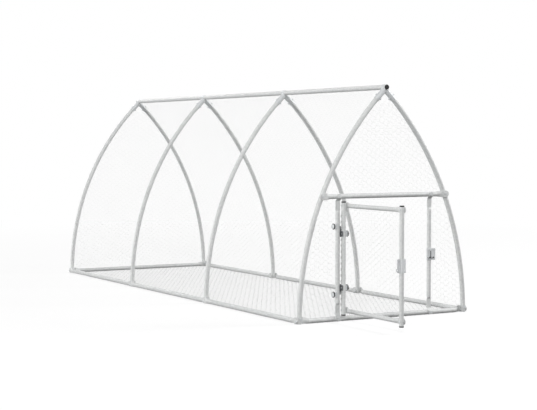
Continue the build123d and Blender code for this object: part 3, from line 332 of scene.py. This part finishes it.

# %% [markdown]
# ## Finishes on the frame
# The imported record says which finish every rigid piece has, under a slot name. The pieces could be
# painted one by one, but a loop over their slots dresses them all and leaves their shape alone.
# Only the hinge hooks and leaves then get the dark grey zinc, which paints the shade that falls
# on them in the gap between the door and its post.

# %% Dress the frame
finishes = {
    "galvanised_tube": galvanised_tube,
    "galvanised_wire": galvanised_wire,
    "zinc_plated_steel": zinc_plated_steel,
    "blackened_steel": blackened_steel,
    "black_plastic": black_plastic,
}
dressed = {name: 0 for name in finishes}
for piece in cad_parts.values():
    for holder in piece.material_slots:
        slot_name = holder.material.name.split(".")[0]
        holder.material = finishes[slot_name]
        dressed[slot_name] += 1
# painted shade: the hinge hooks and leaves in the gap beside the door take the dark grey zinc
for name in ("hinge_hook_upper", "hinge_hook_lower", "hinge_leaf_upper", "hinge_leaf_lower"):
    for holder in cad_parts[name].material_slots:
        holder.material = zinc_painted_shade
print("dressed", dressed)

# %% [markdown]
# ## One wire of the netting
# In hexagonal netting each wire zigzags along the roll, and is twisted once round its left
# neighbour, then round its right one. The twisted stretches are two sides of each hexagon, and
# the slanted runs between them are the other four. A picture of netting on a flat sheet would look
# thin from close by, so the wire is drawn. One repeat of one wire is a curve with a thin round
# section, which is then made a mesh. It starts and ends halfway along a slant, so that repeats
# join in a straight line. It is drawn in three gauges, by how strongly each net shows.

# %% One repeat of one wire
HEX_SIDE = 0.017  # measured on the photograph
HEX_FLAT = HEX_SIDE * math.sqrt(3)
REPEAT = 3 * HEX_SIDE
WIRE_R = 0.00025
END_WIRE_R = 0.00034  # the ends and the door are handled, so their wire is stouter
FLOOR_WIRE_R = 0.00045  # the floor carries the animals, so its wire is the stoutest
TURN_STEPS = 4


def twist(across, start, angle, radius):
    """One full turn round the neighbour, along one side of the hexagon."""
    points = []
    for step in range(TURN_STEPS + 1):
        turn = angle + step * 2 * math.pi / TURN_STEPS
        points.append((across + radius * math.cos(turn), start + step * HEX_SIDE / TURN_STEPS,
                       radius * math.sin(turn)))
    return points


def pick(piece):
    """Leaves one piece selected and active, in object mode."""
    if bpy.context.mode != "OBJECT":
        bpy.ops.object.mode_set(mode="OBJECT")
    bpy.ops.object.select_all(action="DESELECT")
    piece.select_set(True)
    bpy.context.view_layer.objects.active = piece


def draw_repeat(name, radius):
    """One repeat of one wire: half a slant, a twist, a slant, a twist and half a slant."""
    path = [(HEX_FLAT / 4, -HEX_SIDE / 4, 0)]
    path += twist(0, 0, 0, radius)
    path += twist(HEX_FLAT / 2, 1.5 * HEX_SIDE, math.pi, radius)
    path += [(HEX_FLAT / 4, REPEAT - HEX_SIDE / 4, 0)]
    curve = bpy.data.curves.new(name, "CURVE")
    curve.dimensions = "3D"
    curve.twist_mode = "Z_UP"
    curve.bevel_depth = radius
    curve.bevel_resolution = 0
    spline = curve.splines.new("POLY")
    spline.points.add(len(path) - 1)
    for point, spot in zip(spline.points, path):
        point.co = (*spot, 1)
    drawn = bpy.data.objects.new(name, curve)
    bpy.context.scene.collection.objects.link(drawn)
    pick(drawn)
    bpy.ops.object.convert(target="MESH")
    return bpy.context.object


wire_repeat = draw_repeat("wire_repeat", WIRE_R)
end_repeat = draw_repeat("end_repeat", END_WIRE_R)
floor_repeat = draw_repeat("floor_repeat", FLOOR_WIRE_R)
print("one repeat of wire has", len(wire_repeat.data.polygons), "faces")

# %% [markdown]
# ## A sheet of netting
# The neighbour of a wire is the same wire, half a mesh aside and half a repeat on. A loop could
# copy it thousands of times, but three Array modifiers are quicker: the neighbour, the columns
# across and the repeats along. Merging the doubles then joins the repeats to whole wires.

# %% Weave a flat sheet
MERGE = 0.00002  # points closer than this become one


def copy_of(piece, name):
    """The same shape under another name, with its own mesh."""
    twin = piece.copy()
    twin.data = piece.data.copy()
    twin.name = name
    twin.data.name = name
    bpy.context.scene.collection.objects.link(twin)
    return twin


def weave(name, columns, repeats, repeat):
    """A flat sheet from the origin: columns along X, repeats along Y."""
    sheet = copy_of(repeat, name)
    pick(sheet)
    steps = ((2, (HEX_FLAT / 2, REPEAT / 2, 0)), (columns, (HEX_FLAT, 0, 0)), (repeats, (0, REPEAT, 0)))
    for count, offset in steps:
        rows = sheet.modifiers.new("rows", "ARRAY")
        rows.count = count
        rows.use_relative_offset = False
        rows.use_constant_offset = True
        rows.constant_offset_displace = offset
        bpy.ops.object.modifier_apply(modifier=rows.name)
    bpy.ops.object.mode_set(mode="EDIT")
    bpy.ops.mesh.select_all(action="SELECT")
    bpy.ops.mesh.remove_doubles(threshold=MERGE)
    bpy.ops.object.mode_set(mode="OBJECT")
    return sheet


print("a hexagon is", round(HEX_FLAT * 1000, 1), "mm across")

# %% [markdown]
# A sheet is woven flat, and then stands in a wall or leans on the arches. It could be turned by
# angles, but it is easier to say which way its width and its length should run. The turn is
# applied to the mesh at once, because every finished piece has to sit at the origin, unturned.

# %% Bring a sheet to its place
def place(piece, across, along, origin):
    """Turns a flat sheet so that its X and Y run in two directions, and leaves its place in its mesh."""
    across = Vector(across)
    along = Vector(along)
    turn = Matrix((across, along, across.cross(along))).transposed().to_4x4()
    pick(piece)
    piece.matrix_world = Matrix.Translation(origin) @ turn
    bpy.ops.object.transform_apply(location=True, rotation=True, scale=True)


print("made", place.__name__)

# %% [markdown]
# Netting is cut with pliers. A Boolean modifier could cut the sheet, but it is slow and easily
# fails on thousands of thin wires. Along a tube the wires end at the tube, which a bisect does, and
# round a foot or a bracket they are cut back to the nearest twist, which deleting the faces in a
# window does.

# %% Cut netting to size
def trim(piece, planes):
    """Cuts away all that lies beyond each plane, given by a point and its outward direction."""
    pick(piece)
    bpy.ops.object.mode_set(mode="EDIT")
    for point, outward in planes:
        bpy.ops.mesh.select_all(action="SELECT")
        bpy.ops.mesh.bisect(plane_co=point, plane_no=outward, clear_outer=True)
    bpy.ops.object.mode_set(mode="OBJECT")


def cut_back(piece, windows):
    """Deletes the faces whose middle lies in a window, given by its lowest and highest corner."""
    pick(piece)
    bpy.ops.object.mode_set(mode="EDIT")
    bpy.ops.mesh.select_mode(type="FACE")
    bpy.ops.mesh.select_all(action="DESELECT")
    bpy.ops.object.mode_set(mode="OBJECT")
    middles = np.empty(len(piece.data.polygons) * 3)
    piece.data.polygons.foreach_get("center", middles)
    middles = middles.reshape(-1, 3)
    chosen = np.zeros(len(middles), dtype=bool)
    for low, high in windows:
        chosen |= np.all((middles > low) & (middles < high), axis=1)
    piece.data.polygons.foreach_set("select", chosen)
    bpy.ops.object.mode_set(mode="EDIT")
    bpy.ops.mesh.delete(type="FACE")
    bpy.ops.object.mode_set(mode="OBJECT")


print("made", trim.__name__, "and", cut_back.__name__)

# %% [markdown]
# A cut leaves each wire an open pipe, which would show black inside. The ends could be left open,
# since they are thinner than a pixel, but a closed mesh can also be measured and printed. So they
# are capped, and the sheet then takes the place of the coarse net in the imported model, on the same
# body.

# %% Close the wires and hang a sheet
END_SIDES = 12  # a hole with more sides than this isn't the end of a wire
WIRE_ROUND = math.radians(100)  # edges that turn less than this are shaded round


def close_ends(piece):
    """Caps the cut wires, turns every face outwards and rounds the wire by its shading."""
    pick(piece)
    bpy.ops.object.mode_set(mode="EDIT")
    bpy.ops.mesh.select_all(action="SELECT")
    bpy.ops.mesh.fill_holes(sides=END_SIDES)
    bpy.ops.mesh.select_all(action="SELECT")
    bpy.ops.mesh.normals_make_consistent(inside=False)
    bpy.ops.object.mode_set(mode="OBJECT")
    bpy.ops.object.shade_smooth_by_angle(angle=WIRE_ROUND)


def hang(piece, body, finish, *nodes):
    """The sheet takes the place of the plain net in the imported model."""
    piece.data.materials.clear()
    piece.data.materials.append(finish)
    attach(piece, body)
    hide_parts(*nodes)
    print(piece.name, len(piece.data.polygons), "faces")


print("made", close_ends.__name__, "and", hang.__name__)

# %% [markdown]
# ## Sizes from the frame
# The netting has to fit the tubes. Their places could be typed in again, but then a change of the
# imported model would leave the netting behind. So they are read from the boxes of its pieces, and
# rounded to a hundredth of a millimetre, because the boxes of round tubes are a hair off.

# %% Read the arches
X, Y, Z = range(3)
LOWEST, HIGHEST = range(2)
ARCH_R = 1.583  # of the arc that each half of an arch follows, to the middle of its tube


def edge(name, end, axis):
    """Where a rigid piece starts or ends along one axis."""
    return round(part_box(name)[end][axis], 5)


def middle(name, axis):
    """The middle of a rigid piece along one axis."""
    low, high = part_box(name)
    return round((low[axis] + high[axis]) / 2, 5)


TUBE_R = edge("ridge_front", HIGHEST, X)
ARC_Z = edge("arch_left_1", LOWEST, Z)
ARC_PAST = round(ARCH_R + edge("arch_left_1", LOWEST, X) + TUBE_R, 5)  # its centre, past the middle
arch_places = [middle(f"arch_left_{number}", Y) for number in range(1, 5)]
FRONT_Y = arch_places[0]
REAR_Y = arch_places[-1]
print("arches at", arch_places, "with tubes of", round(2 * TUBE_R * 1000, 1), "mm")

# %% [markdown]
# ## Side netting
# Each long side is covered by one roll of netting, laid over the outside of the arches from the
# base tube to the ridge, and cut back round the feet of the arches and the ridge brackets. The
# gaps could be cut when the netting is bent, but on the flat sheet they are plain rectangles, so
# they are laid out first.

# %% Lay out a side
FAR = 9.0  # past every edge of the cage, in metres
SIDE_LOW = 0.002  # the roll starts just above the ground, outside the base tube
SIDE_WIRES = 87  # as many as reach the ridge
SIDE_RISE = SIDE_WIRES * HEX_FLAT / 2
SIDE_MIDDLE = SIDE_RISE / 2
FOOT_WINDOW = (0.054, 0.037)  # half the width, and the height, of the gap round a foot
BRACKET_WINDOW = (0.022, 0.068)  # half the width, and the depth, of the gap round a bracket


def side_windows():
    """What is cut back on a flat side: wires past the ridge, and gaps round feet and brackets."""
    windows = [((SIDE_MIDDLE + WIRE_R, -FAR, -FAR), (FAR, FAR, FAR))]
    foot_top = FOOT_WINDOW[1] - SIDE_LOW - SIDE_MIDDLE
    bracket_low = SIDE_MIDDLE - BRACKET_WINDOW[1]
    for arch in arch_places:
        windows.append(((-FAR, arch - FOOT_WINDOW[0], -FAR), (foot_top, arch + FOOT_WINDOW[0], FAR)))
        windows.append(((bracket_low, arch - BRACKET_WINDOW[0], -FAR), (FAR, arch + BRACKET_WINDOW[0], FAR)))
    return windows


print("a side rises", round(SIDE_RISE, 3), "m, with", len(side_windows()), "places cut back")

# %% [markdown]
# A cloth simulation could drape the roll, but wire netting is stretched tight, so its shape is
# known: an arc just outside the arches. A Simple Deform modifier bends the flat sheet to it. The
# roll is made in three lengths that continue each other, because one mesh for a whole side would
# be too heavy. The right side is the left side turned round.

# %% Side netting
SIDE_R = ARCH_R + TUBE_R + 2 * WIRE_R
SECTIONS = 3
SECTION_REPEATS = 20
SECTION = SECTION_REPEATS * REPEAT


def bend_over_arches(piece):
    """Bends a flat sheet to the arc of the arches, and leans it on their left halves."""
    place(piece, (1, 0, 0), (0, 0, 1), (0, 0, 0))
    bend = piece.modifiers.new("bend", "SIMPLE_DEFORM")
    bend.deform_method = "BEND"
    bend.deform_axis = "Z"
    reach = [vertex.co.x for vertex in piece.data.vertices]
    bend.angle = (max(reach) - min(reach)) / SIDE_R
    pick(piece)
    bpy.ops.object.modifier_apply(modifier=bend.name)
    lean = (SIDE_LOW + SIDE_MIDDLE) / SIDE_R
    outward = Vector((-math.cos(lean), 0, math.sin(lean)))
    upward = Vector((math.sin(lean), 0, math.cos(lean)))
    place(piece, upward, -outward, Vector((ARC_PAST, 0, ARC_Z)) + SIDE_R * outward)


side_ends = [((0, FRONT_Y, 0), (0, -1, 0)), ((0, REAR_Y, 0), (0, 1, 0))]
side_sheet = weave("side_sheet", (SIDE_WIRES + 1) // 2, SECTION_REPEATS, wire_repeat)
for number in range(SECTIONS):
    left = copy_of(side_sheet, f"side_netting_left_{number + 1}")
    place(left, (1, 0, 0), (0, 1, 0), (-SIDE_MIDDLE, (number - SECTIONS / 2) * SECTION, 0))
    trim(left, side_ends)
    cut_back(left, side_windows())
    close_ends(left)
    bend_over_arches(left)
    right = copy_of(left, f"side_netting_right_{SECTIONS - number}")
    place(right, (-1, 0, 0), (0, -1, 0), (0, 0, 0))
    hang(left, "frame", galvanised_wire, "side_net_left")
    hang(right, "frame", galvanised_wire, "side_net_right")
bpy.data.objects.remove(side_sheet)

# %% [markdown]
# ## Floor netting
# The floor is netted too, so that nothing digs in or out. The netting lies on the ground under
# the base tubes, and their weight presses it flat. Single wires could be bent down under the
# tubes, but a squeeze of the whole sheet in its thickness looks the same. It is laid in three
# lengths, as the sides are.

# %% Floor netting
FLOOR_HALF = (0.506, 1.506)  # half the width and half the length
FLOOR_COLUMNS = 36
FLOOR_PRESS = 0.5  # the twists are pressed to this share of their thickness
FLOOR_GAP = 0.00002  # above the ground

floor_edges = []
for side in (-1, 1):
    floor_edges.append(((side * FLOOR_HALF[0], 0, 0), (side, 0, 0)))
    floor_edges.append(((0, side * FLOOR_HALF[1], 0), (0, side, 0)))
floor_sheet = weave("floor_sheet", FLOOR_COLUMNS, SECTION_REPEATS, floor_repeat)
for number in range(SECTIONS):
    ground = copy_of(floor_sheet, f"floor_netting_{number + 1}")
    corner = (-FLOOR_COLUMNS / 2 * HEX_FLAT, (number - SECTIONS / 2) * SECTION, 0)
    place(ground, (1, 0, 0), (0, 1, 0), corner)
    trim(ground, floor_edges)
    close_ends(ground)
    pick(ground)
    ground.scale = (1, 1, FLOOR_PRESS)
    ground.location = (0, 0, 2 * FLOOR_WIRE_R * FLOOR_PRESS + FLOOR_GAP)
    bpy.ops.object.transform_apply(location=True, rotation=True, scale=True)
    hang(ground, "frame", darker_wire, "floor_net")
bpy.data.objects.remove(floor_sheet)

# %% [markdown]
# ## End netting
# The two ends are closed in the plane of the end arches. The sheet hangs with its twists level.
# It could be cut to the arch by one curved cutter, but a row of straight cuts that touch the
# inside of the arch gives the same edge with the bisect that is there already.

# %% Cut an end wall
WINDOW_R = ARCH_R - TUBE_R
ARCH_CUTS = 13
LAST_CUT = math.radians(46.0)  # about where the two halves of an arch meet


def arch_cuts(y):
    """Straight cuts along the inside of both halves of an end arch."""
    cuts = []
    for step in range(ARCH_CUTS):
        angle = LAST_CUT * step / (ARCH_CUTS - 1)
        for side in (-1, 1):
            outward = Vector((side * math.cos(angle), 0, math.sin(angle)))
            centre = Vector((-side * ARC_PAST, y, ARC_Z))
            cuts.append((centre + WINDOW_R * outward, outward))
    return cuts


def end_net(name, y, low, high, sides, windows, node):
    """One panel of an end wall, between two heights, with its twists level."""
    panel = weave(name, math.ceil((high - low) / HEX_FLAT) + 1, SECTION_REPEATS, end_repeat)
    place(panel, (0, 0, 1), (1, 0, 0), (-SECTION / 2, y, low - HEX_FLAT / 2))
    cuts = [((0, y, low), (0, 0, -1)), ((0, y, high), (0, 0, 1))]
    trim(panel, cuts + sides + arch_cuts(y))
    cut_back(panel, windows)
    close_ends(panel)
    hang(panel, "frame", galvanised_wire, node)


print("an end wall has", len(arch_cuts(FRONT_Y)), "cuts along its arch")

# %% [markdown]
# At the rear one panel fills the arch. At the front the crossbar and the door posts divide the wall
# in three: one panel over the crossbar and one on each side of the doorway. Each could be woven by
# itself, but they are the same work with other edges, so one function makes all four.

# %% End netting
BASE_TOP = ARC_Z + 2 * TUBE_R
NET_TOP = 1.090  # just below the ridge brackets
CROSSBAR_Z = middle("crossbar", Z)
POST_EDGE = edge("front_net_right", LOWEST, X)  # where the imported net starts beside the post
FOOT_PLACE = 0.47  # the gap round a base tube's flat end, and half its width
FOOT_HALF = 0.03
BAR_PLACE = 0.36  # the gap round the crossbar's flat end, and half its width and height
BAR_HALF = 0.045
BAR_RISE = 0.02
HOOK_HEIGHTS = (0.473, 0.135)  # the hinge hooks on the left post
KNOB_SPAN = (-0.311, -0.28)  # the gap round a knob, from past its outer face into the post
KNOB_RISE = 0.018  # half its height

foot_windows = []
bar_windows = []
for side in (-1, 1):
    foot = side * FOOT_PLACE
    foot_windows.append(((foot - FOOT_HALF, -FAR, -FAR), (foot + FOOT_HALF, FAR, FOOT_WINDOW[1])))
    bar = side * BAR_PLACE
    bar_windows.append(((bar - BAR_HALF, -FAR, CROSSBAR_Z - BAR_RISE),
                        (bar + BAR_HALF, FAR, CROSSBAR_Z + BAR_RISE)))
knob_windows = []
for z in HOOK_HEIGHTS:
    knob_windows.append(((KNOB_SPAN[0], -FAR, z - KNOB_RISE), (KNOB_SPAN[1], FAR, z + KNOB_RISE)))
above_bar = CROSSBAR_Z + TUBE_R
below_bar = CROSSBAR_Z - TUBE_R
end_net("rear_netting", REAR_Y, BASE_TOP, NET_TOP, [], foot_windows, "rear_net")
end_net("front_netting_upper", FRONT_Y, above_bar, NET_TOP, [], bar_windows, "front_net_upper")
for side, word in ((-1, "left"), (1, "right")):
    beside = [((side * POST_EDGE, FRONT_Y, 0), (-side, 0, 0))]
    end_net(f"front_netting_{word}", FRONT_Y, BASE_TOP, below_bar, beside,
            foot_windows + bar_windows + knob_windows, f"front_net_{word}")

# %% [markdown]
# ## Door netting
# The door is a frame of four thin tubes with its own netting, which swings with it. The netting
# could be woven for the closed door and turned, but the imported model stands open, as in the
# photograph. So it is woven in place, and rides on the door's body.

# %% Door netting
STILE_X = middle("door_stile_hinge", X)
STILES_Y = (middle("door_stile_free", Y), middle("door_stile_hinge", Y))
RAILS_Z = (middle("door_rail_bottom", Z), middle("door_rail_top", Z))
THIN_R = 0.011  # of the door's tubes
DOOR_COLUMNS = math.ceil((RAILS_Z[1] - RAILS_Z[0]) / HEX_FLAT) + 1
DOOR_REPEATS = math.ceil((STILES_Y[1] - STILES_Y[0]) / REPEAT) + 1
RAIL_GAP = (0.05, 0.017)  # half the length and half the height of the gap round a rail's flat end
CLAMP_CLEAR = 0.001  # the gap round the latch clamp, below and above it
CLAMP_REACH = 0.015  # and from the middle of the free stile

door_net = weave("door_netting", DOOR_COLUMNS, DOOR_REPEATS, end_repeat)
place(door_net, (0, 0, 1), (0, 1, 0), (STILE_X, STILES_Y[0] - REPEAT / 2, RAILS_Z[0] - HEX_FLAT))
trim(door_net, [
    ((STILE_X, STILES_Y[0] + THIN_R, 0), (0, -1, 0)),
    ((STILE_X, STILES_Y[1] - THIN_R, 0), (0, 1, 0)),
    ((STILE_X, 0, RAILS_Z[0] + THIN_R), (0, 0, -1)),
    ((STILE_X, 0, RAILS_Z[1] - THIN_R), (0, 0, 1)),
])
clamp_low = edge("latch_clamp_inner", LOWEST, Z) - CLAMP_CLEAR
clamp_high = edge("latch_clamp_inner", HIGHEST, Z) + CLAMP_CLEAR
door_windows = [((-FAR, STILES_Y[0], clamp_low), (FAR, STILES_Y[0] + CLAMP_REACH, clamp_high))]
for y in STILES_Y:
    for z in RAILS_Z:
        low = (-FAR, y - RAIL_GAP[0], z - RAIL_GAP[1])
        high = (FAR, y + RAIL_GAP[0], z + RAIL_GAP[1])
        door_windows.append((low, high))
cut_back(door_net, door_windows)
close_ends(door_net)
hang(door_net, "door", galvanised_wire, "door_net")

# %% [markdown]
# ## Ties on the hinge stile
# The netting of the door is tied to the hinge stile with short lengths of wire, one at every
# mesh. A tie goes once round the tube, and its ends are twisted together and pressed flat against
# it. It could be a curve wound round the tube, but at this size a thin ring with a short, stout
# twist looks the same. The two are joined to one mesh, which is copied up the stile.

# %% One wire tie
TIE_R = 0.0007
TIE_GAP = 0.0001  # between the ring and the tube
TIE_TWIST_R = 0.0015
TIE_TWIST_GAP = 0.0002
TIE_TWIST = 0.013
TIE_WAY = (-0.86, 0.51)  # the twists lie in the gap beside the door post
TIE_STEPS = 24  # faces round the tube, round the wire and round the twist
TIE_SIDES = 5
TWIST_SIDES = 7
TIE_ROUND = math.radians(60)

bpy.ops.object.select_all(action="DESELECT")
bpy.ops.mesh.primitive_torus_add(major_radius=THIN_R + TIE_R + TIE_GAP, minor_radius=TIE_R,
                                 major_segments=TIE_STEPS, minor_segments=TIE_SIDES)
tie_shape = bpy.context.object
twist_out = THIN_R + TIE_TWIST_R + TIE_TWIST_GAP
twist_place = (TIE_WAY[0] * twist_out, TIE_WAY[1] * twist_out, -TIE_TWIST / 3)
bpy.ops.mesh.primitive_cylinder_add(vertices=TWIST_SIDES, radius=TIE_TWIST_R, depth=TIE_TWIST,
                                    location=twist_place)
tie_twist = bpy.context.object
pick(tie_shape)
tie_twist.select_set(True)
bpy.ops.object.join()
bpy.ops.object.shade_smooth_by_angle(angle=TIE_ROUND)
# the darker wire paints the shade that falls on the ties in the gap beside the door post
tie_shape.data.materials.append(darker_wire)
print("a tie has", len(tie_shape.data.polygons), "faces")

# %% [markdown]
# The ties sit one mesh apart, from the bottom rail to the top one. An Array modifier could repeat
# them, but where a hinge leaf covers the stile there is none, so a loop leaves those out.

# %% Ties up the stile
LEAF_HEIGHTS = (0.437, 0.169)  # the hinge leaves on the door
TIE_START = 0.03  # above the bottom rail's middle
TIE_END = 0.02  # below the top rail's middle
TIE_CLEAR = 0.014  # from the middle of a hinge leaf

tie_heights = []
for number in range(DOOR_COLUMNS):
    z = RAILS_Z[0] + TIE_START + number * HEX_FLAT
    beside_leaf = min(abs(z - leaf) for leaf in LEAF_HEIGHTS) <= TIE_CLEAR
    if z < RAILS_Z[1] - TIE_END and not beside_leaf:
        tie_heights.append(z)
for number, z in enumerate(tie_heights):
    tie = copy_of(tie_shape, f"door_tie_{number + 1}")
    place(tie, (1, 0, 0), (0, 1, 0), (STILE_X, STILES_Y[1], z))
    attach(tie, "door")
bpy.data.objects.remove(tie_shape)
print("door ties", len(tie_heights))

# %% [markdown]
# ## Covers on the hand knobs
# Each black knob has a thin plated disc pressed on its outer face. The disc could be painted on the
# knob, but its edge catches the light, so it is a flat cylinder with a softened rim. The other
# three are copies of the first.

# %% Knob covers
COVER_R = 0.0125
COVER_THICK = 0.0005
COVER_SIDES = 40
COVER_ROUND = math.radians(40)
RIM = 0.0002
RIM_STEPS = 2
POST_KNOB_FACE = edge("hinge_post_knobs", LOWEST, X)
DOOR_KNOB_FACE = edge("door_knobs", HIGHEST, X)

bpy.ops.object.select_all(action="DESELECT")
bpy.ops.mesh.primitive_cylinder_add(vertices=COVER_SIDES, radius=COVER_R, depth=COVER_THICK)
cover_shape = bpy.context.object
rim = cover_shape.modifiers.new("rim", "BEVEL")
rim.width = RIM
rim.segments = RIM_STEPS
bpy.ops.object.modifier_apply(modifier=rim.name)
bpy.ops.object.shade_smooth_by_angle(angle=COVER_ROUND)
cover_shape.data.materials.append(zinc_plated_steel)
knob_places = [("frame", -1, POST_KNOB_FACE, FRONT_Y, z) for z in HOOK_HEIGHTS]
knob_places += [("door", 1, DOOR_KNOB_FACE, STILES_Y[1], z) for z in LEAF_HEIGHTS]
for number, (body, way, x, y, z) in enumerate(knob_places):
    cover = copy_of(cover_shape, f"knob_cover_{number + 1}")
    place(cover, (0, 1, 0), (0, 0, way), (x + way * COVER_THICK / 2, y, z))
    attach(cover, body)
bpy.data.objects.remove(cover_shape)
print("knob covers", len(knob_places))

# %% [markdown]
# ## Last measures
# The three drawn repeats of wire are no part of the cage, so they are removed. They could be
# hidden, but a removed helper can't slip into an export.

# %% Finish
for drawn in (wire_repeat, end_repeat, floor_repeat):
    bpy.data.objects.remove(drawn)
